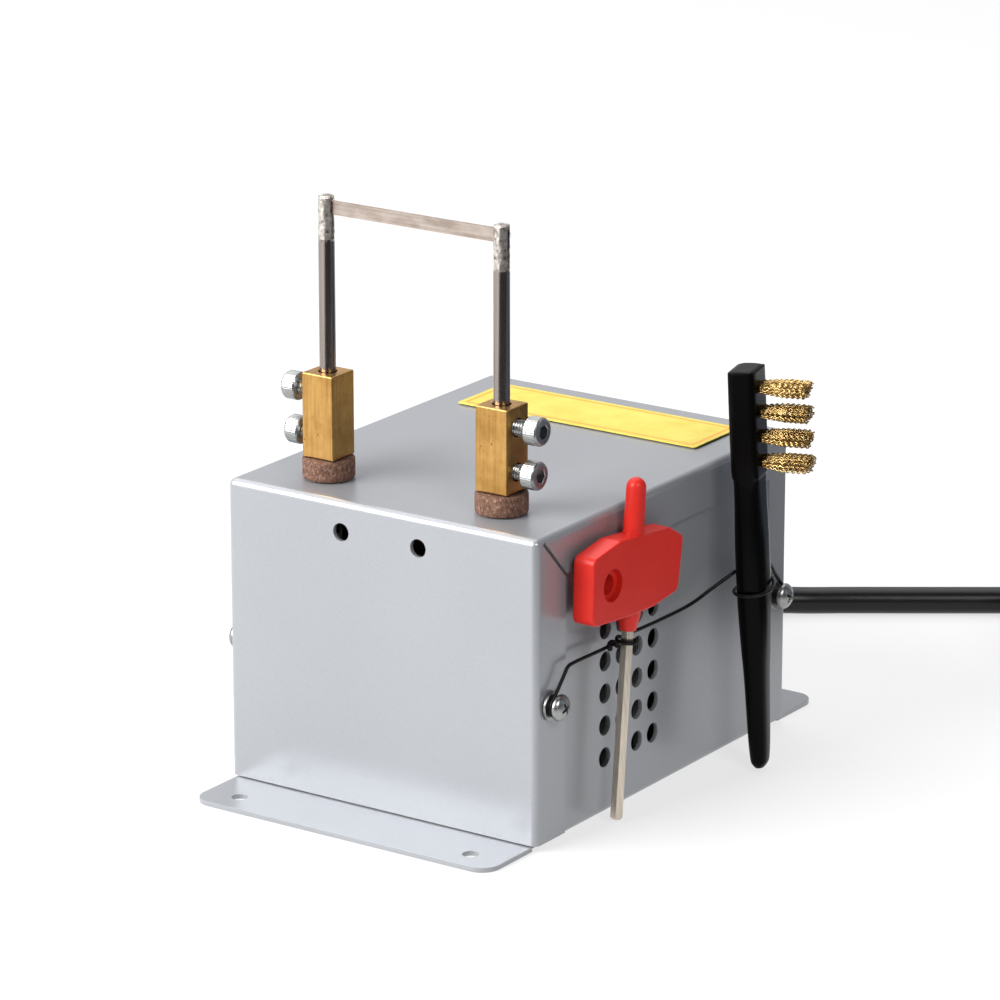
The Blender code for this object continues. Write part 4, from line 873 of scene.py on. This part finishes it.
def case_cover():
    """Top, front and rear walls with side returns, folded from one sheet, with mitred corner slits."""
    low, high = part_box("cover")
    half_x, half_y, top = high.x, high.y, high.z

    def rounded(inset, base, radius):
        bm = bmesh.new()
        ceiling = top - inset
        add_box(bm, (inset - half_x, inset - half_y, base), (half_x - inset, half_y - inset, ceiling))
        edges = [e for e in bm.edges if max(v.co.z for v in e.verts) > ceiling - 1e-6]
        bmesh.ops.bevel(bm, geom=edges, offset=radius, segments=8, affect="EDGES", profile=0.5)
        return bm

    obj = to_object("case_cover", rounded(0.0, low.z, BEND_RADIUS))
    carve(obj, rounded(SHEET, -SHEET, BEND_RADIUS - SHEET))
    window_low = (-2 * half_x, FRONT_RETURN - half_y, -SHEET)
    carve(obj, box_mesh(window_low, (2 * half_x, half_y - REAR_RETURN, top - SKIRT_HEIGHT)))
    slits = bmesh.new()
    outer = Vector((MITRE_START[0] - half_y, top - MITRE_START[1]))
    inner = Vector((FRONT_RETURN + MITRE_SLIT - half_y, top - SKIRT_HEIGHT - MITRE_SLIT))
    centre, run = (outer + inner) / 2, inner - outer
    turn = Matrix.Rotation(atan2(run.y, run.x), 3, "X")
    half = Vector((SHEET, run.length / 2, MITRE_SLIT / 2))
    for side, _ in SIDES:
        spot = Vector((side * (half_x - SHEET / 2), centre.x, centre.y))
        add_box(slits, spot - half, spot + half, turn)
    carve(obj, slits)
    holes = []
    for end_name in ("front", "rear"):
        _, y, z = middle(f"cover_screw_{end_name}_left")
        holes.append((SCREW_HOLE_RADIUS, (-2 * half_x, y, z), (2 * half_x, y, z)))
    for side, _ in SIDES:
        x, z = side * FRONT_HOLE[0], FRONT_HOLE[1]
        holes.append((FRONT_HOLE_RADIUS, (x, -half_y - SHEET, z), (x, -half_y + 2 * SHEET, z)))
    for _, side_name in SIDES:
        x, y, _ = middle(f"insulating_bush_{side_name}")
        holes.append((SPIGOT_HOLE_RADIUS, (x, y, top - 2 * SHEET), (x, y, top + SHEET)))
    x, _, z = middle("cord_gland")
    holes.append((GLAND_HOLE_RADIUS, (x, half_y - 2 * SHEET, z), (x, half_y + SHEET, z)))
    carve(obj, cylinders(holes, 48))
    soften(obj, EDGE_ROUND)
    finish_piece(obj, PAINT, "enclosure", "cover", 30)


def case_base():
    """Base plate, fixing flanges and side walls, folded from one sheet, with the vents."""
    half, tip_y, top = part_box("base_chassis")[1]
    side_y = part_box("cover")[1].y - SHEET - 0.5 * MM
    flat = half - BEND_RADIUS
    right = arc((flat, BEND_RADIUS), BEND_RADIUS, -90, 0, 8) + [(half, top)]
    profile = [(-x, z) for x, z in reversed(right)] + right
    bm = bmesh.new()
    front = [bm.verts.new((x, -side_y, z)) for x, z in profile]
    rear = [bm.verts.new((x, side_y, z)) for x, z in profile]
    for k in range(len(profile) - 1):
        bm.faces.new((front[k], rear[k], rear[k + 1], front[k + 1]))
    corner = arc((half - FLANGE_CORNER, tip_y - FLANGE_CORNER), FLANGE_CORNER, 0, 90, 14)
    edge = [(half, side_y + SHEET)] + corner
    outline = edge + [(-x, y) for x, y in reversed(edge)]
    foot = [k for k, (_, z) in enumerate(profile) if z < 1e-6]
    for row, sign in ((front, -1), (rear, 1)):
        plate = [bm.verts.new((x, sign * y, 0.0)) for x, y in outline]
        bm.faces.new([row[foot[1]], *plate, row[foot[0]]])
    obj = to_object("case_base", bm)
    if obj.data.polygons[len(profile) // 2 - 1].normal.z > 0:
        obj.data.flip_normals()
    thick = obj.modifiers.new("sheet", "SOLIDIFY")
    thick.thickness = SHEET
    thick.offset = -1.0
    thick.use_even_offset = True
    bake(obj)
    reach = 2 * half
    holes = []
    for column in range(VENT_COUNT[0]):
        for row in range(VENT_COUNT[1]):
            y, z = VENT_FIRST[0] + VENT_STEP[0] * column, VENT_FIRST[1] + VENT_STEP[1] * row
            holes.append((VENT_RADIUS, (-reach, y, z), (reach, y, z)))
    for end_name in ("front", "rear"):
        _, y, z = middle(f"cover_screw_{end_name}_left")
        holes.append((SCREW_HOLE_RADIUS, (-reach, y, z), (reach, y, z)))
        for side, side_name in SIDES:
            y = (-1 if end_name == "front" else 1) * (tip_y - FLANGE_HOLE[1])
            x = side * FLANGE_HOLE[0]
            holes.append((FLANGE_HOLE_RADIUS, (x, y, -SHEET), (x, y, 2 * SHEET)))
            x, y, _ = middle(f"foot_screw_{end_name}_{side_name}")
            holes.append((SCREW_HOLE_RADIUS, (x, y, -SHEET), (x, y, 2 * SHEET)))
    carve(obj, cylinders(holes, 40))
    soften(obj, EDGE_ROUND)
    finish_piece(obj, PAINT, "enclosure", "base_chassis", 30)


def cross(length, width):
    """The outline of a cross recess, as a radius by angle."""

    def radius(angle):
        c, s = abs(cos(angle)) + 1e-9, abs(sin(angle)) + 1e-9
        return max(min(length / c, width / s), min(width / c, length / s))

    return radius


def pan_head_screw(side, side_name, end_name, spin):
    """A cross-recessed pan head on its washer; the shank goes into the case."""
    node = f"cover_screw_{end_name}_{side_name}"
    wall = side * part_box("cover")[1].x
    inner, outer = sorted(abs(corner.x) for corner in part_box(node))
    height, depth = outer - abs(wall), abs(wall) - inner
    head_low = height - 2.2 * MM
    rim, crown = 3.25 * MM, 2.2 * MM

    def dome(radius):
        return head_low + crown - 1.35 * MM * (radius / rim) ** 2.6

    arms, foot = cross(1.55 * MM, 0.36 * MM), cross(1.0 * MM, 0.3 * MM)
    rows = [(0.0, height - 1.75 * MM), (foot, height - 1.5 * MM)]
    rows += [(arms, lambda a: dome(arms(a)) - 0.04 * MM)]
    rows += [(lambda a: arms(a) + 0.07 * MM, lambda a: dome(arms(a) + 0.07 * MM))]
    rows += [(r * rim, dome(r * rim)) for r in (0.62, 0.7, 0.79, 0.87)]
    edge = ((0.94, 0.95), (0.985, 0.6), (1.0, 0.3), (0.965, 0.0))
    rows += [(share * rim, head_low + up * MM) for share, up in edge]
    washer, seat, shank = 3.6 * MM, GAP + 0.7 * MM, 1.45 * MM
    if side > 0:
        rows += [(shank, head_low), (shank, seat)]
    rows += [(washer - 0.12 * MM, seat), (washer, seat - 0.12 * MM), (washer, GAP + 0.1 * MM)]
    rows += [(washer - 0.1 * MM, GAP), (shank, GAP)]
    rows += threads(shank, 0.22 * MM, 0.0, -depth + 0.6 * MM, 0.8 * MM)
    rows += [(shank - 0.4 * MM, -depth), (0.0, -depth)]
    spot = (wall, middle(node).y, middle(node).z)
    obj = to_object(node + "_fine", lathe(rows, 96), sideways(side, spot, spin))
    finish_piece(obj, ZINC, "enclosure", node, 32)


def threads(radius, depth, start, end, pitch, rows_per_pitch=6):
    """Rows of a screw thread that runs from one height down to another."""
    count = max(2, round((start - end) / pitch * rows_per_pitch))
    rows = []
    for k in range(count + 1):
        z = start + (end - start) * k / count

        def profile(angle, z=z):
            phase = (z / pitch + angle / (2 * pi)) % 1.0
            return radius - depth * (1.0 - abs(2.0 * phase - 1.0))

        rows.append((profile, z))
    return rows


def top_label():
    """A thin label; its corners are slightly rounded and it lies almost flat."""
    low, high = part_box("top_label")
    half, centre = (high - low) / 2, (low + high) / 2
    outline = rounded_box(half.x, half.y, 0.8 * MM)
    sections = [[(centre.x + x, centre.y + y, z) for x, y in outline] for z in (low.z, high.z)]
    obj = soften(to_object("label_sheet", loft(sections)), 0.06 * MM)
    finish_piece(obj, LABEL, "enclosure", "top_label")


case_cover()
case_base()
for side, side_name in SIDES:
    for end_name, spin in (("front", 24), ("rear", 58)):
        pan_head_screw(side, side_name, end_name, spin)
top_label()


# --- Posts and blade ---

def insulating_bush(side_name):
    """A turned fibre bush with ragged, slightly fluffy edges."""
    node = f"insulating_bush_{side_name}"
    low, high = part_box(node)
    spot = middle(node)
    height = high.z - low.z
    spigot = height - 5.0 * MM
    bore, rim = STUD_RADIUS + 0.35 * MM, (high.x - low.x) / 2

    def rough(radius, amount=0.08 * MM):
        def at(angle):
            place = Vector((cos(angle), sin(angle), radius * 900)) * 14
            return radius - amount + amount * noise.noise(place + spot * 500)

        return at

    rows = [(bore, height), (rough(rim - 0.55 * MM), height)]
    rows += [(rough(rim - 0.2 * MM), height - 0.12 * MM), (rough(rim - 0.02 * MM), height - 0.45 * MM)]
    layers = 8
    for k in range(1, layers):
        z = height - 0.45 * MM - (height - spigot - 0.9 * MM) * k / layers
        rows.append((rough(rim - 0.01 * MM * (k % 3)), z))
    rows += [(rough(rim - 0.03 * MM), spigot + 0.4 * MM), (rough(rim - 0.3 * MM), spigot)]
    rows += [(3.7 * MM, spigot), (3.7 * MM, 0.0), (bore, 0.0)]
    place = Matrix.Translation((spot.x, spot.y, low.z))
    obj = to_object(node + "_fine", lathe(rows, 96, closed=True), place)
    finish_piece(obj, FIBRE, "enclosure", node, 35)


def brass_block(side, side_name):
    """The square post: broken edges, the rod's bore, two tapped cross holes and the stud below."""
    node = f"terminal_block_{side_name}"
    low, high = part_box(node)
    bottom = high.z - BLOCK_HEIGHT
    spot = Vector((middle(node).x, middle(node).y, bottom))
    half = (high.x - low.x) / 2
    blank = box_mesh((-half, -half, 0.0), (half, half, BLOCK_HEIGHT), bevel=0.32 * MM)
    obj = to_object(node + "_fine", blank)
    stud = lathe(
        [(0.0, 1.2 * MM), (STUD_RADIUS, 1.2 * MM), (STUD_RADIUS, -5.0 * MM)]
        + threads(STUD_RADIUS, 0.28 * MM, -5.0 * MM, low.z - bottom + 0.4 * MM, 0.8 * MM)
        + [(STUD_RADIUS - 0.5 * MM, low.z - bottom), (0.0, low.z - bottom)],
        48,
    )
    carve(obj, stud, "UNION")
    bore = ROD_RADIUS + 0.35 * MM
    carve(obj, cylinders([(bore, (0, 0, 1.8 * MM), (0, 0, 2 * BLOCK_HEIGHT))], 48))
    for height in CLAMP_HEIGHTS.values():
        start, end = (side * 0.6 * MM, 0, height), (side * 3 * half, 0, height)
        carve(obj, cylinders([(CLAMP_THREAD_RADIUS + GAP, start, end)], 40))
    obj.data.transform(Matrix.Translation(spot))
    finish_piece(obj, BRASS, "enclosure", node, 30)


def clamp_screw(side, side_name, level):
    """A socket-head cap screw: knurled head, hexagon socket and an M4 thread."""
    node = f"clamp_screw_{side_name}_{level}"
    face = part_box(f"terminal_block_{side_name}")[side > 0].x
    spot = Vector((face, middle(node).y, middle(node).z))
    under = CLAMP_STANDOFF[level]
    top = under + CLAMP_HEAD_HEIGHT
    tip = min(abs(corner.x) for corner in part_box(node)) - abs(face)
    ridges = 40

    def knurl(angle):
        return CLAMP_HEAD_RADIUS - 0.07 * MM * (1 - abs(sin(angle * ridges / 2)))

    rows = [(0.0, top - 2.9 * MM), (hexagon(CLAMP_HEX_FLATS, 0.98), top - 2.2 * MM)]
    rows += [(hexagon(CLAMP_HEX_FLATS), top - 0.12 * MM)]
    rows += [(hexagon(CLAMP_HEX_FLATS, extra=0.16 * MM), top)]
    rows += [(r * MM, top - drop * MM) for r, drop in ((2.65, 0.0), (3.0, 0.05), (3.22, 0.2), (3.36, 0.5))]
    rows += [(knurl, top - 0.62 * MM), (knurl, under + 0.35 * MM)]
    rows += [(3.38 * MM, under + 0.22 * MM), (3.2 * MM, under), (CLAMP_THREAD_RADIUS, under)]
    rows += threads(CLAMP_THREAD_RADIUS, 0.3 * MM, under - 0.1 * MM, tip + 0.4 * MM, THREAD_PITCH, 8)
    rows += [(CLAMP_THREAD_RADIUS - 0.45 * MM, tip), (0.0, tip)]
    spin = {"lower": 12, "upper": 34}[level] + side * 7
    obj = to_object(node + "_fine", lathe(rows, 160), sideways(side, spot, spin))
    finish_piece(obj, ZINC, f"clamp_{side_name}_{level}", node, 30)


def electrode_rod(side_name, seed):
    """A polished rod whose slit top is pinched and tinned on to the strip."""
    node = f"electrode_rod_{side_name}"
    low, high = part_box(node)
    spot = Vector((middle(node).x, middle(node).y, low.z))
    length = high.z - low.z
    worked = length - SLIT_DEPTH

    def lumpy(z, radius):
        def at(angle):
            place = Vector((cos(angle) * 2.2, sin(angle) * 2.2, z * 900 + seed))
            return radius * (0.965 + 0.075 * noise.noise(place))

        return at

    rows = [(0.0, 0.0), (ROD_RADIUS - 0.4 * MM, 0.0), (ROD_RADIUS, 0.4 * MM)]
    rows += [(ROD_RADIUS, worked - 0.9 * MM), (ROD_RADIUS * 0.98, worked - 0.5 * MM)]
    steps = 26
    for k in range(steps):
        z = worked + (length - 0.3 * MM - worked) * k / (steps - 1)
        rows.append((lumpy(z, ROD_RADIUS), z))
    rows += [(lumpy(length, ROD_RADIUS * 0.86), length - 0.05 * MM), (0.0, length - 0.15 * MM)]
    obj = to_object(node + "_fine", lathe(rows, 56), Matrix.Translation(spot))
    top = high.z
    reach = Vector((3 * MM, SLIT_WIDTH / 2, 0.0))
    slit_low = Vector((spot.x, spot.y, top - SLIT_DEPTH)) - reach
    carve(obj, box_mesh(slit_low, Vector((spot.x, spot.y, top + MM)) + reach))
    finish_piece(obj, NICKEL, "blade_head", node, 50)
    obj.data.materials.append(TINNED)
    for face in obj.data.polygons:
        wander = 0.35 * MM * noise.noise(face.center * 900)
        if face.center.z > top - SLIT_DEPTH - 0.3 * MM + wander:
            face.material_index = 1


def resistance_strip():
    """The rolled strip, clamped at both ends and a little wavy between."""
    low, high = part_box("resistance_strip")
    y, thick = (low.y + high.y) / 2, high.y - low.y
    bm = bmesh.new()
    columns, rows = 72, 6
    grid = []
    for i in range(columns + 1):
        x = low.x + (high.x - low.x) * i / columns
        free = max(0.0, 1.0 - (abs(x) / (high.x - 5.5 * MM)) ** 4)
        line = []
        for j in range(rows + 1):
            z = low.z + (high.z - low.z) * j / rows
            bow = free * 0.22 * MM * noise.noise(Vector((x * 60, z * 90, 3.0)))
            edge = 0.05 * MM * noise.noise(Vector((x * 900, j, 7.0))) if j in (0, rows) else 0.0
            line.append(bm.verts.new((x, y + bow, z - abs(edge) if j == rows else z + abs(edge))))
        grid.append(line)
    for a, b in zip(grid, grid[1:]):
        for j in range(rows):
            bm.faces.new((a[j], b[j], b[j + 1], a[j + 1]))
    obj = to_object("hot_strip", bm)
    mod = obj.modifiers.new("thickness", "SOLIDIFY")
    mod.thickness = thick
    mod.offset = 0.0
    bake(obj)
    finish_piece(obj, NICHROME, "blade_head", "resistance_strip", 45)


for side, side_name in SIDES:
    insulating_bush(side_name)
    brass_block(side, side_name)
    electrode_rod(side_name, 40 + 17 * side)
    for level in ("lower", "upper"):
        clamp_screw(side, side_name, level)
resistance_strip()


# --- Hex key ---

def key_matrix():
    return Matrix.Translation(KEY_TIP) @ Matrix.Rotation(-KEY_LEAN, 4, "X")


def key_handle():
    """A flag handle with rolled edges, a peg on top, a neck below and a counterbored hole."""
    corners = [(-20.2, 51.2), (-21.3, 67.6), (-10.0, 70.5), (12.0, 70.4)]
    corners += [(18.3, 67.4), (17.3, 54.1), (7.0, 51.7), (-4.0, 51.0)]
    outline = fillet(mm(corners), 2.0 * MM, 8)
    half = KEY_THICK / 2
    centre = sum((Vector(p) for p in outline), Vector((0.0, 0.0))) / len(outline)
    roll = 0.8 * MM
    sections = []
    for k in range(9):
        angle = pi * k / 8
        x = -cos(angle) * roll + (half - roll) * (-1 if k < 4 else 1 if k > 4 else 0)
        shrink = roll * (1 - sin(angle))
        ring = []
        for p in outline:
            outward = (Vector(p) - centre).normalized()
            ring.append((x, p[0] - outward.x * shrink, p[1] - outward.y * shrink))
        sections.append(ring)
    obj = to_object("key_flag", loft(sections))
    peg = 2.4 * MM
    spine = [(0.0, 84.0 * MM)]
    spine += [(peg * sin(a), 84.0 * MM - peg * (1 - cos(a))) for a in (0.3, 0.6, 0.9, 1.2, 1.5)]
    neck = ((0.1, 72.0), (0.3, 70.6), (0.2, 60.0), (0.5, 50.5), (0.0, 48.4), (-0.35, 46.9), (-0.5, 46.7))
    spine += [(peg + wider * MM, z * MM) for wider, z in neck] + [(0.0, 46.7 * MM)]
    carve(obj, lathe(spine, 48), "UNION")
    corner = KEY_FLATS / 2 / cos(pi / 6)
    hole_y, hole_z = KEY_HOLE
    carve(obj, cylinders([(corner + 0.25 * MM, (0, 0, 0), (0, 0, 62.3 * MM))], 40))
    carve(obj, cylinders([(2.5 * MM, (-KEY_THICK, hole_y, hole_z), (KEY_THICK, hole_y, hole_z))], 56))
    step = half - 1.5 * MM
    carve(obj, cylinders([(4.0 * MM, (step, hole_y, hole_z), (KEY_THICK, hole_y, hole_z))], 56))
    soften(obj, 0.22 * MM, 2, 50)
    obj.data.transform(key_matrix())
    finish_piece(obj, RED_PLASTIC, "hex_key", "hex_key_handle", 40)


def key_shank():
    """A hexagonal bar with softened corners and a chamfered tip."""

    def bar(scale):
        return hexagon(KEY_FLATS, scale, 1.125)

    rows = [(0.0, 0.0), (bar(0.72), 0.0), (bar(0.98), 0.5 * MM)]
    rows += [(bar(1.0), z * MM) for z in (0.6, 20.0, 40.0, 61.9)]
    rows += [(0.0, 62.0 * MM)]
    obj = to_object("key_bar", lathe(rows, 72), key_matrix())
    finish_piece(obj, SHANK_STEEL, "hex_key", "hex_key_shank", 18)


key_handle()
key_shank()


# --- Brush ---

def brush_matrix():
    lean = Matrix.Rotation(-BRUSH_LEAN, 4, "Y")
    return Matrix.Translation(BRUSH_TIP) @ lean @ Matrix.Rotation(BRUSH_TURN, 4, "Z")


def brush_handle():
    """A tapering moulded handle, square at the head and rounder at the tip."""
    # Rows of height, thickness, width and squareness.
    rows = [(0.0, 2.4, 4.4, 2.2), (0.8, 3.5, 5.7, 2.4), (2.2, 4.3, 6.5, 2.6), (8.0, 4.9, 7.4, 2.8)]
    rows += [(23.0, 5.7, 8.6, 2.9), (32.0, 6.6, 9.6, 3.0), (43.0, 7.3, 10.5, 3.2), (56.0, 7.4, 10.8, 3.4)]
    rows += [(68.0, 6.6, 10.2, 4.2), (73.5, 6.4, 10.1, 5.5), (77.5, 6.9, 11.4, 7.0), (98.9, 6.9, 11.6, 7.0)]
    rows += [(100.2, 6.65, 11.25, 6.6), (101.0, 5.9, 10.4, 6.0), (101.3, 4.6, 9.0, 5.0)]
    sections = []
    for height, thick, width, power in smooth_rows(rows, 6):
        height = min(max(height, 0.0), rows[-1][0])
        outline = superellipse(thick * MM / 2, width * MM / 2, power, 56)
        sections.append([(x, y, height * MM) for x, y in outline])
    obj = to_object("brush_stock", loft(sections), brush_matrix())
    finish_piece(obj, BLACK_PLASTIC, "brush", "brush_handle", 50)


def tuft(number, height, dice):
    """A bundle of crimped wires, in step with their neighbours, that rises and spreads outward."""
    bm = bmesh.new()
    root_x, length = 3.1 * MM, 12.7 * MM
    wide, tall = 3.1 * MM, 1.25 * MM
    rise = tan(BRISTLE_RISE)
    golden = pi * (3 - sqrt(5))
    for k in range(BRISTLES_PER_TUFT):
        share = sqrt((k + 0.5) / BRISTLES_PER_TUFT)
        across, up = wide * share * cos(k * golden), tall * share * sin(k * golden)
        stray = dice.random() < 0.07
        splay = dice.uniform(1.42, 1.55) * (1.25 if stray else 1.0)
        drift = dice.uniform(-0.12, 0.12) * MM
        phase = 1.9 * up / tall + 0.5 * across / wide + dice.uniform(-0.15, 0.15)
        swing = dice.uniform(0.22, 0.27) * MM
        tilt = radians(58) + dice.uniform(-0.2, 0.2)
        reach = length * dice.uniform(0.94, 1.0)
        points = []
        for i in range(BRISTLE_STEPS + 1):
            t = i / BRISTLE_STEPS
            spread = 1 + (splay - 1) * min(1.0, 1.8 * t) * (1.0 if stray else 1.1 - 0.2 * t)
            crimp = swing * min(1.0, 6 * t) * sin(phase + 2 * pi * t * reach / CRIMP_PITCH)
            y = across * spread + drift * t + crimp * cos(tilt)
            z = up * spread + drift * t + crimp * sin(tilt) + rise * reach * t
            points.append((root_x + reach * t, y, height + z))
        sweep(bm, points, 0.19 * MM, 6)
    obj = to_object(f"bristle_row_{number}", bm, brush_matrix())
    finish_piece(obj, BRISTLES, "brush", f"brush_tuft_{number}", 80)


brush_handle()
bristle_dice = random.Random(5)
for number in range(1, 5):
    tuft(number, (78.2 + 6.15 * (number - 1)) * MM, bristle_dice)


# --- Holder wire ---

def turns_about(centre, half_a, half_b, spin, start, sweep_angle, first_z, last_z, steps, curve=1.0):
    """Points of a loop round an upright axis, from one height to another; angles in degrees."""
    points = []
    for k in range(steps + 1):
        t = k / steps
        angle = radians(start + sweep_angle * t)
        a, b = half_a * cos(angle), half_b * sin(angle)
        x = centre[0] + a * cos(spin) - b * sin(spin)
        y = centre[1] + a * sin(spin) + b * cos(spin)
        points.append((x, y, last_z + (first_z - last_z) * (1 - t) ** curve))
    return points


def wrapped(path, start, end, turns, reach):
    """A second strand that winds round part of a path, given as shares of its points."""
    first, last = round(start * (len(path) - 1)), round(end * (len(path) - 1))
    points = []
    count = round(turns * 12)
    for k in range(count + 1):
        t = k / count
        where = first + (last - first) * t
        i = min(int(where), len(path) - 2)
        here = path[i].lerp(path[i + 1], where - i)
        along = (path[i + 1] - path[i]).normalized()
        side = along.orthogonal().normalized()
        other = along.cross(side)
        angle = 2 * pi * turns * t
        points.append(here + (side * cos(angle) + other * sin(angle)) * reach)
    return points


def holder_wire():
    """One annealed wire from screw to screw, turned round the key and the brush, with twisted ends."""
    front, rear = middle("cover_screw_front_right"), middle("cover_screw_rear_right")
    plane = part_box("cover")[1].x + GAP + 0.7 * MM + 0.75 * MM
    eye = 2.35 * MM
    first = [(plane, y, z) for y, z in arc((front.y, front.z), eye, 426, 136, 24)]
    last = [(plane, y, z) for y, z in arc((rear.y, rear.z), eye, 64, -226, 24)]
    key_z, brush_z = 45.0 * MM, 46.6 * MM
    key_at = (KEY_TIP.x, KEY_TIP.y + tan(KEY_LEAN) * (key_z - KEY_TIP.z))
    round_key = KEY_FLATS / 2 / cos(pi / 6) + WIRE_RADIUS + 0.35 * MM
    key_low, key_high = key_z - 0.8 * MM, key_z + 0.7 * MM
    loop_key = turns_about(key_at, round_key, round_key, 0.0, 180, -360, key_low, key_high, 24)
    brush_at = (BRUSH_TIP.x - tan(BRUSH_LEAN) * (brush_z - BRUSH_TIP.z), BRUSH_TIP.y)
    upper, lower = brush_z + 4.5 * MM, brush_z - 0.6 * MM
    loop_brush = turns_about(brush_at, 4.7 * MM, 6.4 * MM, BRUSH_TURN, 205, -410, upper, lower, 36, 2.0)
    bend = [(plane, -47.4 * MM, 42.3 * MM)] + mm([(46.9, -46.0, 44.1), (47.0, -43.5, 44.5)])
    approach = mm([(46.9, -34.0, 44.3)])
    between = mm([(47.0, -22.0, 45.2), (47.3, -8.0, 44.9), (47.6, 6.0, 45.2), (49.4, 13.0, 47.6)])
    down = mm([(49.9, 34.5, 45.6), (48.6, 42.0, 46.3), (46.9, 47.6, 42.0)])
    span = smooth_rows(bend + approach + [loop_key[0]], 8)
    reach = smooth_rows([loop_key[-1]] + between + [loop_brush[0]], 10)
    fall = smooth_rows([loop_brush[-1]] + down + [last[0]], 10)
    main = [Vector(p) for p in first] + span + [Vector(p) for p in loop_key[1:]] + reach[1:]
    main += [Vector(p) for p in loop_brush[1:]] + fall[1:] + [Vector(p) for p in last[1:]]
    bm = bmesh.new()
    sweep(bm, main, WIRE_RADIUS, 12)
    sweep(bm, wrapped(span, 0.88, 0.985, 1.6, WIRE_RADIUS * 1.95), WIRE_RADIUS * 0.9, 10)
    second = mm([(51.4, 29.6, 44.3), (50.4, 35.5, 43.6), (48.9, 42.5, 43.4), (46.95, 46.6, 40.6)])
    sweep(bm, smooth_rows(second, 8), WIRE_RADIUS * 0.9, 10)
    obj = to_object("tie_wire", bm)
    finish_piece(obj, ANNEALED, "enclosure", "holder_wire", 60)


holder_wire()


# --- Inside the case ---

def wound_coil(name, node, wire, mat, corner, inner_inset):
    """A winding whose outer face shows its turns, as half-round ridges round a rounded rectangle."""
    low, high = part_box(node)
    half, centre = (high - low) / 2, (low + high) / 2
    turns = max(3, round((high.z - low.z) / wire))
    pitch = (high.z - low.z) / turns
    profile = []
    for k in range(turns):
        for step in range(6):
            angle = pi * step / 6
            depth = (1 - sin(angle)) * pitch * 0.42
            profile.append((depth, low.z + pitch * (k + 0.5 - 0.5 * cos(angle))))
    profile.append((pitch * 0.42, high.z))
    rows = [(inner_inset, profile[0][1])] + profile + [(inner_inset, high.z)]
    bm = bmesh.new()
    rings = []
    for depth, z in rows:
        radius = 0.5 * MM if depth == inner_inset else corner
        outline = rounded_box(half.x - depth, half.y - depth, radius)
        rings.append([bm.verts.new((centre.x + x, centre.y + y, z)) for x, y in outline])
    skin(bm, rings, closed=True)
    finish_piece(to_object(name, bm), mat, "enclosure", node, 60)


wound_coil("primary_turns", "primary_winding", 0.9 * MM, ENAMEL, 3.0 * MM, 5.0 * MM)
wound_coil("secondary_turns", "secondary_winding", 4.0 * MM, COPPER, 4.0 * MM, 4.2 * MM)

CARRIED_OVER = {
    ZINC_INNER: ["core_foot_", "core_bolt_", "foot_screw_"],
    LAMINATIONS: ["transformer_core"],
    NYLON: ["winding_bobbin", "mains_terminal_strip"],
    FIBRE: ["lower_insulator_"],
    BRASS: ["terminal_nut_"],
    COPPER: ["secondary_strap_"],
    ENAMEL: ["primary_lead_"],
    BROWN_PVC: ["live_core"],
    BLUE_PVC: ["neutral_core"],
    GREEN_PVC: ["earth_core"],
}
for mat, starts in CARRIED_OVER.items():
    for name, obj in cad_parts.items():
        if name.startswith(tuple(starts)):
            obj.data.materials.clear()
            obj.data.materials.append(mat)
